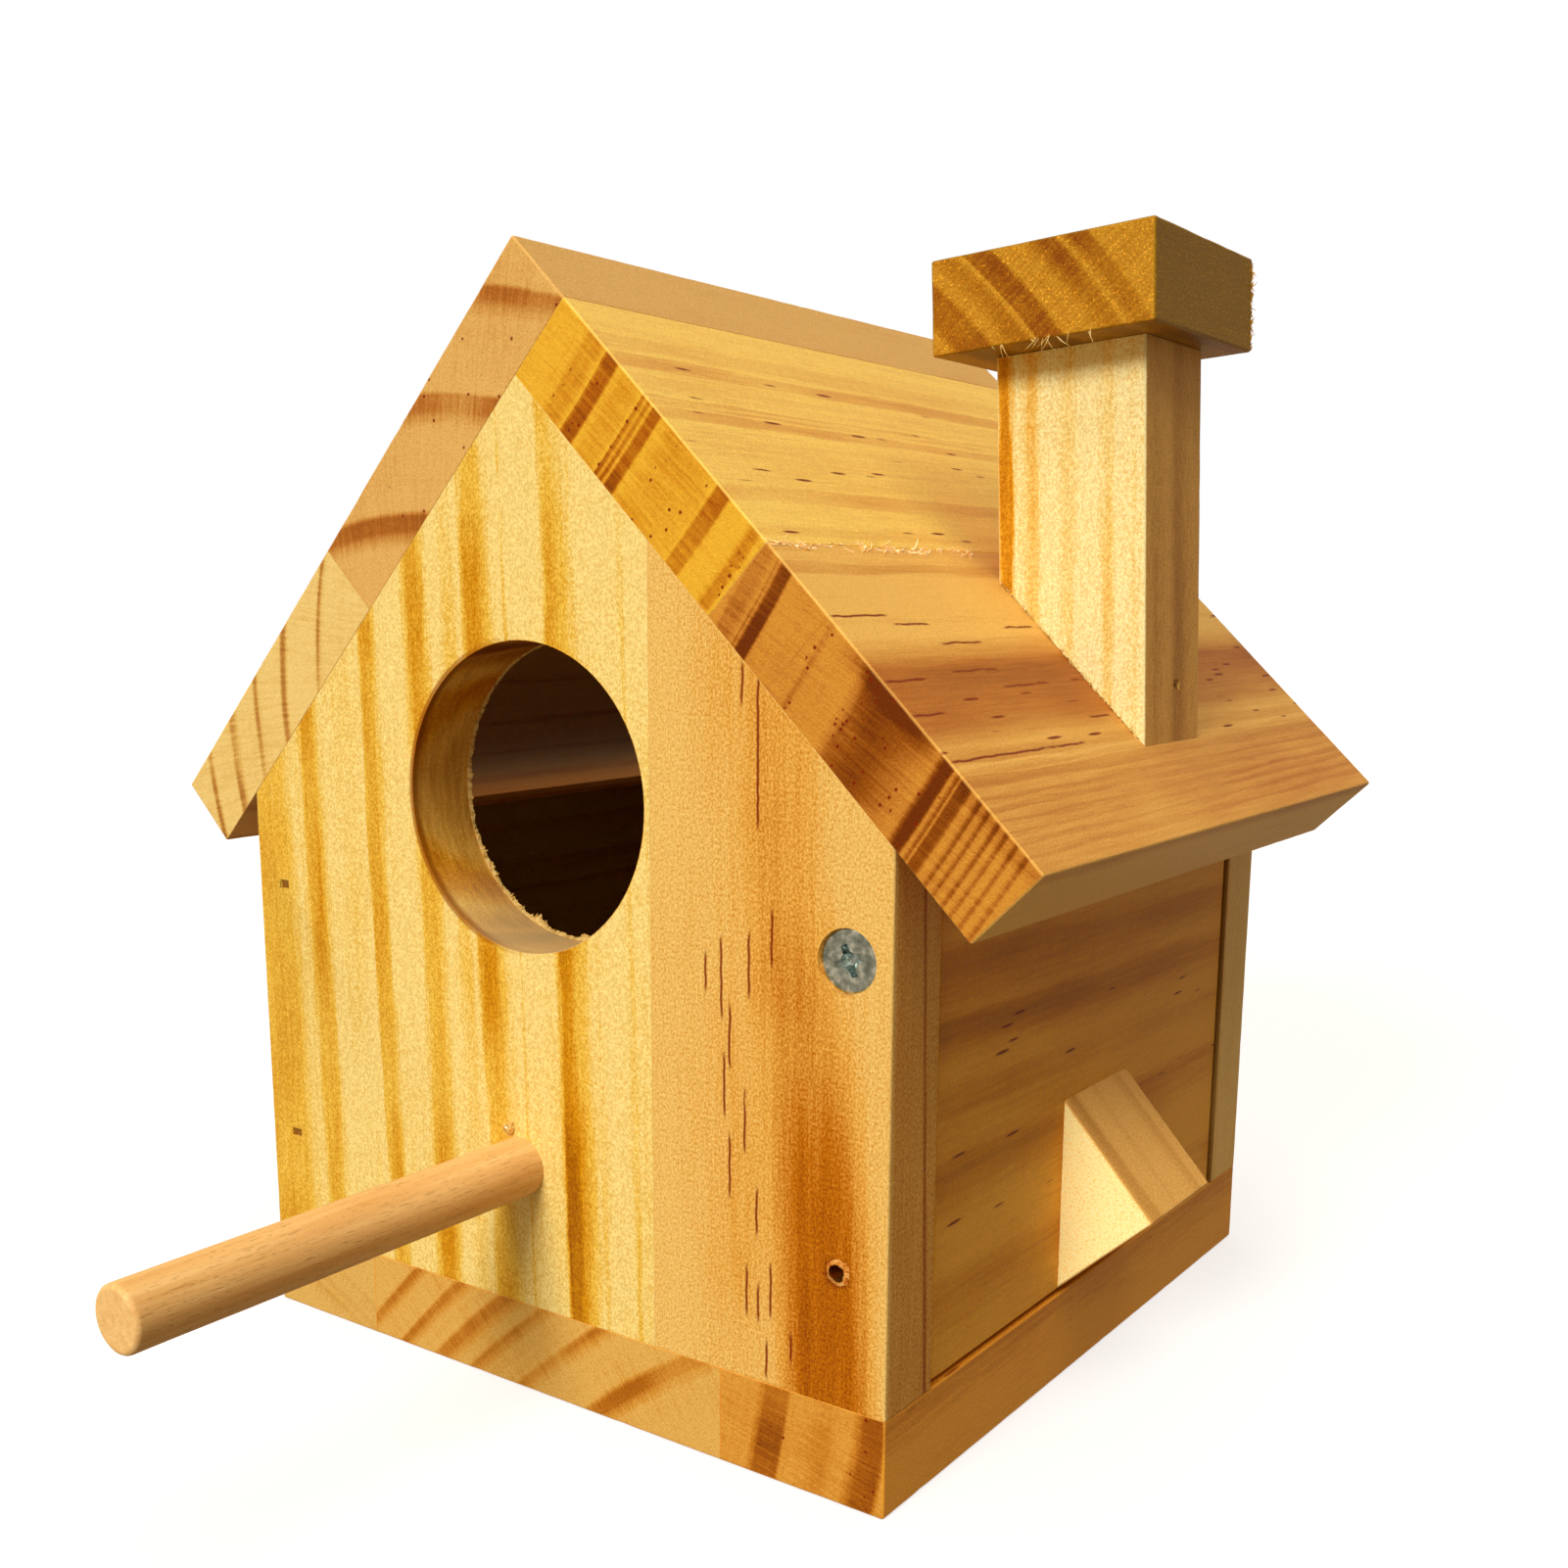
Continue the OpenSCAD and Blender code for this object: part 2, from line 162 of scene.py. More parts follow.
class Graph:
    """Builds a node tree from short calls in which sockets and plain values mix freely."""

    def __init__(self, holder):
        holder.use_nodes = True
        self.holder = holder
        self.tree = holder.node_tree
        self.tree.nodes.clear()

    def feed(self, socket, value):
        if isinstance(value, bpy.types.NodeSocket):
            self.tree.links.new(value, socket)
        elif isinstance(value, (tuple, list, Vector)):
            size = len(socket.default_value)
            socket.default_value = (*value, 1.0)[:size]
        else:
            socket.default_value = value

    def node(self, kind, inputs=None, **settings):
        made = self.tree.nodes.new(kind)
        for key, value in settings.items():
            setattr(made, key, value)
        for key, value in (inputs or {}).items():
            self.feed(made.inputs[key], value)
        return made

    def math(self, operation, *values, clamp=False):
        inputs = dict(enumerate(values))
        return self.node("ShaderNodeMath", inputs, operation=operation, use_clamp=clamp).outputs[0]

    def chain(self, operation, values):
        total = values[0]
        for value in values[1:]:
            total = self.math(operation, total, value)
        return total

    def add(self, *values):
        return self.chain("ADD", values)

    def times(self, *values):
        return self.chain("MULTIPLY", values)

    def most(self, values):
        return self.chain("MAXIMUM", values)

    def minus(self, a, b):
        return self.math("SUBTRACT", a, b)

    def vector(self, operation, *values):
        made = self.node("ShaderNodeVectorMath", dict(enumerate(values)), operation=operation)
        return made.outputs["Value" if operation in ("DOT_PRODUCT", "LENGTH") else "Vector"]

    def join(self, x, y, z):
        return self.node("ShaderNodeCombineXYZ", {0: x, 1: y, 2: z}).outputs[0]

    def step(self, value, start, end, low_out=0.0, high_out=1.0):
        """Smooth step from low_out at start to high_out at end."""
        inputs = {"Value": value, "From Min": start, "From Max": end,
                  "To Min": low_out, "To Max": high_out}
        made = self.node("ShaderNodeMapRange", inputs, interpolation_type="SMOOTHSTEP")
        return made.outputs[0]

    def band(self, value, start, end, soft):
        """One between start and end, fading to zero over the soft width outside them."""
        half = (end - start) / 2
        off = self.math("ABSOLUTE", self.minus(value, start + half))
        return self.step(off, half + soft, half)

    def grey(self, level):
        return self.join(level, level, level)

    def place(self):
        """Place on the object in millimetres."""
        metres = self.node("ShaderNodeTexCoord").outputs["Object"]
        return self.vector("MULTIPLY", metres, (1 / MM,) * 3)

    def facing(self, axis):
        """How squarely the surface faces along an axis, either way."""
        normal = self.node("ShaderNodeTexCoord").outputs["Normal"]
        return self.math("ABSOLUTE", self.vector("DOT_PRODUCT", normal, axis))

    def noise(self, place, detail=2.0, roughness=0.5, colour=False):
        inputs = {"Vector": place, "Scale": 1.0, "Detail": detail, "Roughness": roughness}
        made = self.node("ShaderNodeTexNoise", inputs)
        return made.outputs["Color" if colour else 0]

    def grain(self, place, across, along, **options):
        """Noise whose lumps measure across x across x along millimetres."""
        scale = (1 / across, 1 / across, 1 / along)
        return self.noise(self.vector("MULTIPLY", place, scale), **options)

    def ramp(self, value, stops):
        """Grey or colour ramp; stops are (position, level or colour)."""
        made = self.node("ShaderNodeValToRGB", {0: value})
        elements = made.color_ramp.elements
        elements.remove(elements[1])
        for number, (position, level) in enumerate(stops):
            element = elements.new(position) if number else elements[0]
            element.position = position
            colour = level if isinstance(level, (tuple, list)) else (level,) * 3
            element.color = (*colour, 1)
        return made.outputs[0]

    def mix(self, factor, a, b, blend="MIX"):
        made = self.node("ShaderNodeMix", data_type="RGBA", blend_type=blend)
        for key, value in zip((0, 6, 7), (factor, a, b)):
            self.feed(made.inputs[key], value)
        return made.outputs[2]

    def surface(self, height_mm, **inputs):
        """Principled surface with its relief given in millimetres."""
        bump = self.node("ShaderNodeBump", {"Height": height_mm, "Distance": MM, "Strength": 1.0})
        shader = self.node("ShaderNodeBsdfPrincipled")
        self.feed(shader.inputs["Normal"], bump.outputs[0])
        for key, value in inputs.items():
            self.feed(shader.inputs[key.replace("_", " ")], value)
        output = self.node("ShaderNodeOutputMaterial")
        self.tree.links.new(shader.outputs[0], output.inputs[0])
        return self.holder


def material_graph(name):
    """Graph of a new material."""
    return Graph(bpy.data.materials.new(name))


# Light that the faces get, as a share of the light that shows a white face as white
FRONT_LIGHT, SLOPE_LIGHT, SIDE_LIGHT = 1.08, 0.9, 0.34


def paint(code, light=FRONT_LIGHT):
    """Reflectance of a surface that shows as this sRGB hex colour under this light."""
    shown = [int(code[i:i + 2], 16) / 255 for i in (0, 2, 4)]
    linear = [((c + 0.055) / 1.055) ** 2.4 if c > 0.04 else c / 12.92 for c in shown]
    return tuple(c / light for c in linear)


def palette(codes, light=FRONT_LIGHT):
    """Four colours of wood: pale earlywood, mid, latewood and the darkest latewood."""
    return [paint(code, light) for code in codes.split()]


# ---- wood

DARKNESS_LEVELS = (0.0, 0.3, 0.65, 1.0)
CREAM = palette("fee492 f4c84e dc980c a86202")
BEIGE = palette("f5cc78 ecb04e c87406 8c3e00")
TAN = palette("e8b86a d8a052 bc722a 8c4a10")
STRAW = palette("f5d587 e9bf67 c28840 905a20")
HONEY = palette("f2cc66 e0aa50 c47e34 925016", SLOPE_LIGHT)
ROAST = palette("eaba62 d49a48 b46c2a 803a14", SLOPE_LIGHT)
AMBER_END = palette("f4bc36 e09a20 b46004 783400")
ROAST_END = palette("dc9838 c87e2c 985008 702c02")
BASE_END = palette("e8b860 dc9c3c bc7016 8c4806")
BASE_SIDE = palette("9a6a22 885614 6a3c0a 4c2606", SIDE_LIGHT)
DOOR_SIDE = palette("966a1e 845206 683a02 4a2602", SIDE_LIGHT)
DULL_END = palette("cda05c bb8840 96602a 6c3c18")
RESIN = (0.2, 0.008, 0.001)


@dataclass
class Board:
    """How a board was cut from its log, in millimetres."""

    # Point on the visible face, and unit vectors over it, along the grain and into the board
    origin: Vector
    across: Vector
    along: Vector
    inward: Vector
    # The log's centre as (across, inward)
    pith: tuple
    # Dark latewood bands where they cross the depth level: (from, to, fade in, fade out, darkness)
    rings: list
    # Palettes of the long faces and of the end grain
    face: list
    end: list
    level: float = 0.0
    # Slant of the rings along the face, how far they stray, their strength on the long faces
    tilt: float = 0.0
    wander: float = 0.7
    face_depth: float = 1.0
    # Mottle of the varnish, partly painted shade of its sanded bumps; painted glints, bright specks that
    # stand in for highlights; cloudiness
    mottle_and_painted_shade: float = 0.2
    painted_glint_level: float = 0.12
    patch: float = 0.2
    # Rings with resin as (place, half width, share), and single streaks as (across, from, to)
    canals: tuple = ()
    dashes: tuple = ()
    # Function that gives added darkness from the place in the board
    stain: object = None
    # Direction in which the end palette shows, if it isn't along the grain; the chimney post uses it for
    # a painted shaded copy of its wood on its sides, the handle for a painted lit copy on its front
    end_or_painted_light_axis: Vector = None
    # The entrance as (across, along, radius), and painted shade on the inner faces as (depth, brightness
    # of what is deeper)
    bore: tuple = None
    painted_inner_shade: tuple = None
    # Shifts the noise, so that no two boards look the same
    seed: float = 0.0

    def radius(self, place):
        """Distance from the pith at a place across the board, at the rings' depth."""
        return math.hypot(place - self.pith[0], self.level - self.pith[1])

    def ring_spans(self):
        """Rings as (near radius, far radius, fade before, fade after, darkness), from the pith out."""
        spans = []
        for start, end, fade_in, fade_out, depth in self.rings:
            near, far = self.radius(start), self.radius(end)
            if near > far:
                near, far, fade_in, fade_out = far, near, fade_out, fade_in
            spans.append((near, far, fade_in, fade_out, depth))
        return sorted(spans)


def ring_darkness(g, board, radius):
    """Latewood darkness from the board's list of rings."""
    spans = board.ring_spans()
    margin = 12
    nearest, farthest = spans[0][0] - margin, spans[-1][1] + margin
    spot = g.math("DIVIDE", g.minus(radius, nearest), farthest - nearest, clamp=True)
    rings_per_ramp = 6
    least_gap = 0.0004
    ramps = []
    for first in range(0, len(spans), rings_per_ramp):
        stops = [(0.0, 0.0)]
        for near, far, before, after, depth in spans[first:first + rings_per_ramp]:
            for place, level in ((near - before, 0.0), (near - 0.35 * before, 0.55 * depth),
                                 (near, depth), (far, depth), (far + after, 0.0)):
                share = (place - nearest) / (farthest - nearest)
                stops.append((max(share, stops[-1][0] + least_gap), level))
        ramps.append(g.ramp(spot, stops))
    return g.most(ramps)


def wood_place(g, board):
    """Millimetres across, into and along the board, its place in the noise, and from the pith."""
    place = g.vector("SUBTRACT", g.place(), board.origin)
    s, t, w = (g.vector("DOT_PRODUCT", place, axis)
               for axis in (board.across, board.inward, board.along))
    shift = Vector((17, 5, 3)) * board.seed
    log = g.vector("ADD", g.join(s, t, w), shift)
    reach = 2.4 * board.wander
    bend = g.grain(log, 26, 70, detail=1.5, colour=True)
    bend = g.vector("MULTIPLY", g.vector("SUBTRACT", bend, (0.5,) * 3), (reach,) * 3)
    straight = g.join(g.add(s, g.times(w, board.tilt)), t, 0.0)
    from_pith = g.vector("SUBTRACT", g.vector("ADD", straight, bend), (*board.pith, 0))
    from_pith = g.vector("MULTIPLY", from_pith, (1, 1, 0))
    return s, t, w, log, from_pith


def resin_canals(g, board, log, radius):
    """Thin tubes along the grain inside some rings: dashes on the faces, dots on the ends."""
    zones = []
    for place, half_width, share in board.canals:
        middle = board.radius(place)
        zones.append(g.times(g.band(radius, middle - half_width, middle + half_width, 0.3), share))
    spacing, length = 1.05, 9
    cells = g.vector("MULTIPLY", log, (1 / spacing, 1 / spacing, 1 / length))
    tubes = g.node("ShaderNodeTexVoronoi", {"Vector": cells, "Scale": 1.0})
    chance = g.node("ShaderNodeSeparateColor", {0: tubes.outputs["Color"]}).outputs[0]
    inside = g.step(tubes.outputs["Distance"], 0.27, 0.14)
    return g.times(inside, g.math("LESS_THAN", chance, g.most(zones)))


def drawn_dashes(g, board, s, w):
    """Resin streaks at chosen places of a board's face: (across, from, to) along the grain."""
    wiggle = g.times(g.minus(g.noise(g.join(0.0, 0.0, g.times(w, 1 / 4))), 0.5), 0.7)
    marks = []
    for across, start, end in board.dashes:
        thin = g.band(g.add(s, wiggle), across - 0.05, across + 0.05, 0.23)
        marks.append(g.times(thin, g.band(w, start + 1.0, end - 1.0, 1.6)))
    broken = g.step(g.grain(g.join(s, 0.0, w), 1.1, 4.5, detail=1.0), 0.24, 0.36)
    return g.times(g.most(marks), broken)


def bored_colour(g, bore, colour, s, t, w):
    """Adds the wall of the entrance, golden with a pale foot, and its browned outline."""
    across, along, bore_r = bore
    out = g.vector("LENGTH", g.join(g.minus(s, across), 0.0, g.minus(w, along)))
    inside = g.step(out, bore_r + 0.12, bore_r + 0.02)
    # The cutter left streaks that run through the board
    streak = g.join(g.times(s, 1 / 3.0), g.times(t, 1 / 0.9), g.times(w, 1 / 5.0))
    tone = g.ramp(g.noise(streak, detail=3), [(0.3, (0.85, 0.56, 0.24)), (0.7, (1.15, 0.92, 0.52))])
    bored = g.mix(1.0, colour, tone, "MULTIPLY")
    foot = g.step(w, along - 9, along - bore_r)
    bored = g.mix(g.times(foot, 0.5), bored, paint("f4dc9c"))
    colour = g.mix(inside, colour, bored)
    # Brown outline on the left of the front edge
    left = g.step(s, across + 2, across - 14)
    outline = g.times(g.band(out, bore_r - 0.4, bore_r + 0.35, 0.4), left)
    outline = g.times(outline, g.step(t, 1.6, 0.5))
    return g.mix(g.times(outline, 0.8), colour, paint("a0560a"))


def pine(name, board):
    """Varnished pine with rings, fibres, resin canals, rough end grain and worn edges, with painted
    light: a painted highlight on the arrises, painted glints, painted bump shade in the mottle and
    painted shade on inner faces.
    """
    g = material_graph(name)
    s, t, w, log, from_pith = wood_place(g, board)
    end_or_painted_light_axis = board.along if board.end_or_painted_light_axis is None else board.end_or_painted_light_axis
    end = g.step(g.facing(end_or_painted_light_axis), 0.75, 0.93)
    long_grain = g.minus(1.0, end)
    # Ragged ring edges on the long faces, clean ones on the end grain
    face_feather, end_feather = 1.68, 0.07
    ragged = g.times(g.minus(g.grain(log, 0.8, 15, detail=2.5, roughness=0.6), 0.5),
                     g.step(end, 0.0, 1.0, face_feather, end_feather))
    radius = g.add(g.vector("LENGTH", from_pith), ragged)

    # Strong rings, with fainter ones that come and go between them
    rings = ring_darkness(g, board, radius)
    rings = g.times(rings, g.add(end, g.times(long_grain, board.face_depth)),
                    g.step(g.grain(log, 15, 32, detail=1.5), 0.3, 0.62, 0.55, 1.12))
    faint = g.grain(g.join(radius, 0.0, g.times(w, 0.1)), 0.9, 9, detail=2.5, roughness=0.6)
    # Fibres, hair-fine streaks, cloudy patches, and the mottle of thin varnish over sanded wood, whose
    # colour is partly the painted light and shade of its bumps
    fibre = g.grain(log, 0.42, 12, detail=3, roughness=0.65)
    hair = g.grain(log, 0.15, 2.2, detail=1)
    cloud = g.grain(log, 13, 42, detail=3)
    mottle = g.step(g.grain(log, 0.30, 0.38, detail=2, roughness=0.7), 0.3, 0.68)
    # Painted glints: bright specks that stand in for highlights on the varnish
    painted_glint = g.step(g.grain(log, 0.3, 0.3, detail=1), 0.6, 0.72)
    # Saw marks across the grain
    saw = g.noise(g.join(g.times(s, 1 / 26), g.times(t, 1 / 26), g.times(w, 1 / 0.45)), detail=2)

    # Rays on the end grain run out from the pith
    split = g.node("ShaderNodeSeparateXYZ", {0: from_pith})
    angle = g.math("ARCTAN2", split.outputs[1], split.outputs[0])
    ray_gap = 0.34
    turns = g.times(angle, board.radius(board.rings[0][0]) / ray_gap)
    rays = g.noise(g.join(turns, g.times(radius, 1 / 6), g.times(w, 0.5)), detail=2)

    dark = g.add(rings,
                 g.times(g.minus(faint, 0.5), 0.26),
                 g.times(g.minus(fibre, 0.5), g.times(long_grain, 0.38)),
                 g.times(g.minus(cloud, 0.46), 2 * board.patch),
                 g.times(g.minus(0.5, mottle), 0.5 * board.mottle_and_painted_shade),
                 g.times(g.minus(saw, 0.5), g.times(long_grain, 0.12)),
                 g.times(g.minus(rays, 0.46), g.times(end, 0.62)))
    if board.stain:
        dark = g.add(dark, board.stain(g, s, t, w))
    face = g.ramp(dark, list(zip(DARKNESS_LEVELS, board.face)))
    if board.end is board.face:
        colour = face
    else:
        colour = g.mix(end, face, g.ramp(dark, list(zip(DARKNESS_LEVELS, board.end))))
    # Hair-fine streaks, and painted glints that brighten the colour in specks
    shade = g.add(0.97, g.times(g.minus(hair, 0.5), 0.20), g.times(painted_glint, board.painted_glint_level))
    colour = g.mix(1.0, colour, g.grey(shade), "MULTIPLY")
    # Mottle colour: thicker and thinner varnish, and partly painted light and shade of the sanded bumps
    thick_coat_and_painted_shade = tuple(1 - board.mottle_and_painted_shade * f for f in (0.34, 0.72, 1.4))
    thin_coat_and_painted_light = tuple(1 + board.mottle_and_painted_shade * f for f in (0.16, 0.26, 0.36))
    coat_and_painted_shading = g.ramp(mottle, [(0.0, thick_coat_and_painted_shade), (1.0, thin_coat_and_painted_light)])
    colour = g.mix(1.0, colour, coat_and_painted_shading, "MULTIPLY")

    marks = []
    if board.canals:
        marks.append(resin_canals(g, board, log, radius))
    if board.dashes:
        marks.append(drawn_dashes(g, board, s, w))
    mark = g.most(marks) if marks else 0.0
    colour = g.mix(g.times(mark, 0.95), colour, RESIN)
    # Arrises mixed towards the palest wood: wear, and partly a painted highlight
    worn_arris_and_highlight = g.node("ShaderNodeAttribute", attribute_name="arris").outputs["Fac"]
    colour = g.mix(g.times(worn_arris_and_highlight, 0.35), colour, board.face[0])
    rough = g.add(0.40, g.times(mottle, 0.14), g.times(end, 0.08))
    if board.bore:
        colour = bored_colour(g, board.bore, colour, s, t, w)
    # Painted shade: the faces inside the house are darkened
    if board.painted_inner_shade:
        start, share = board.painted_inner_shade
        inner = g.step(t, start - 0.6, start - 0.2, 1.0, share)
        colour = g.mix(1.0, colour, g.grey(inner), "MULTIPLY")

    grit = g.grain(log, 0.3, 0.5, detail=2, roughness=0.6)
    height = g.add(g.times(rings, 0.012), g.times(fibre, g.times(long_grain, 0.022)),
                   g.times(hair, 0.008), g.times(mottle, 0.024),
                   g.times(grit, g.add(0.012, g.times(end, 0.045))), g.times(mark, -0.01))
    return g.surface(height, Base_Color=colour, Roughness=rough, Specular_IOR_Level=0.26,
                     Specular_Tint=(1.0, 0.62, 0.22))


def front_right_stain(g, s, t, w):
    """Amber heartwood at the foot of the front panel near the door, a paler streak above it and
    the browned rim of the lock hole."""
    lean_in = g.add(s, g.times(w, 0.065))
    foot = g.times(g.band(lean_in, 44.8, 49.6, 6.5), g.step(w, 78.0, 32.0))
    streak = g.times(g.band(s, 38.0, 42.0, 6.0), g.band(w, 64.0, 92.0, 12.0))
    from_hole = g.vector("LENGTH", g.join(g.minus(s, lock_hole.x), 0.0, g.minus(w, lock_hole.z)))
    burr = g.times(g.step(from_hole, 2.3, 1.3), g.step(t, 1.5, 0.5))
    # The panel's edge beside the door is browner, with one dark ring down it
    edge = g.step(s, side_x - 0.5, side_x - 0.1)
    ring = g.times(edge, g.band(g.add(t, g.times(w, 0.038)), 9.5, 9.9, 0.3))
    return g.add(g.times(foot, 0.74), g.times(streak, 0.24), g.times(burr, 0.25),
                 g.step(t, 0.3, 1.2, 0.0, 0.36), g.times(ring, 0.4))


def front_left_stain(g, s, t, w):
    """Paler wood towards the top of the gable."""
    return g.step(w, 92.0, 126.0, 0.0, -0.16)


def roof_right_stain(g, s, t, w):
    """Reddish heart of the lower right roof board, and its duller foot."""
    top = g.step(t, 3.0, 0.5)
    heart = g.times(g.band(s, 72.0, 80.0, 6.0), g.step(w, 30.0, -20.0, 0.34, 0.5))
    foot = g.times(g.band(s, 90.0, 101.0, 5.0), g.step(w, -40.0, 40.0, 0.27, 0.4))
    return g.times(g.add(heart, foot), top)


def door_stain(g, s, t, w):
    """Slanting cloudy heartwood, darkest near the front and below the middle."""
    drift = g.add(s, g.times(w, 0.05))
    return g.add(g.times(g.band(drift, 53.0, 61.0, 6.0), 0.16),
                 g.times(g.band(drift, 33.0, 38.0, 5.0), 0.16),
                 g.times(g.step(w, -10.0, 40.0), -0.12))


def ring_row(start, end, count, fade_in, fade_out, depth, seed):
    """Unevenly spaced rings between two places."""
    rng = random.Random(seed)
    gap = (end - start) / count
    rings = []
    for i in range(count):
        place = start + gap * (i + 0.5 + rng.uniform(-0.28, 0.28))
        rings.append((place, place + 0.15 * gap * rng.random(), fade_in * rng.uniform(0.6, 1.3),
                      fade_out, depth * rng.uniform(0.45, 1.15)))
    return rings


front = dict(origin=Vector((0, front_y, 0)), across=X, along=Z, inward=Y)
back = dict(origin=Vector((0, back_y, 0)), across=X, along=Z, inward=-Y)
ground = dict(origin=Vector((0, front_y, 0)), across=X, along=Y, inward=Z)
slope_right = dict(origin=peak, across=down_right, along=Y, inward=down_left)
slope_left = dict(origin=peak, across=down_left, along=Y, inward=down_right)
chimney = dict(origin=chimney_foot - Y * (post_d / 2), across=chimney_right, along=chimney_up, inward=Y)

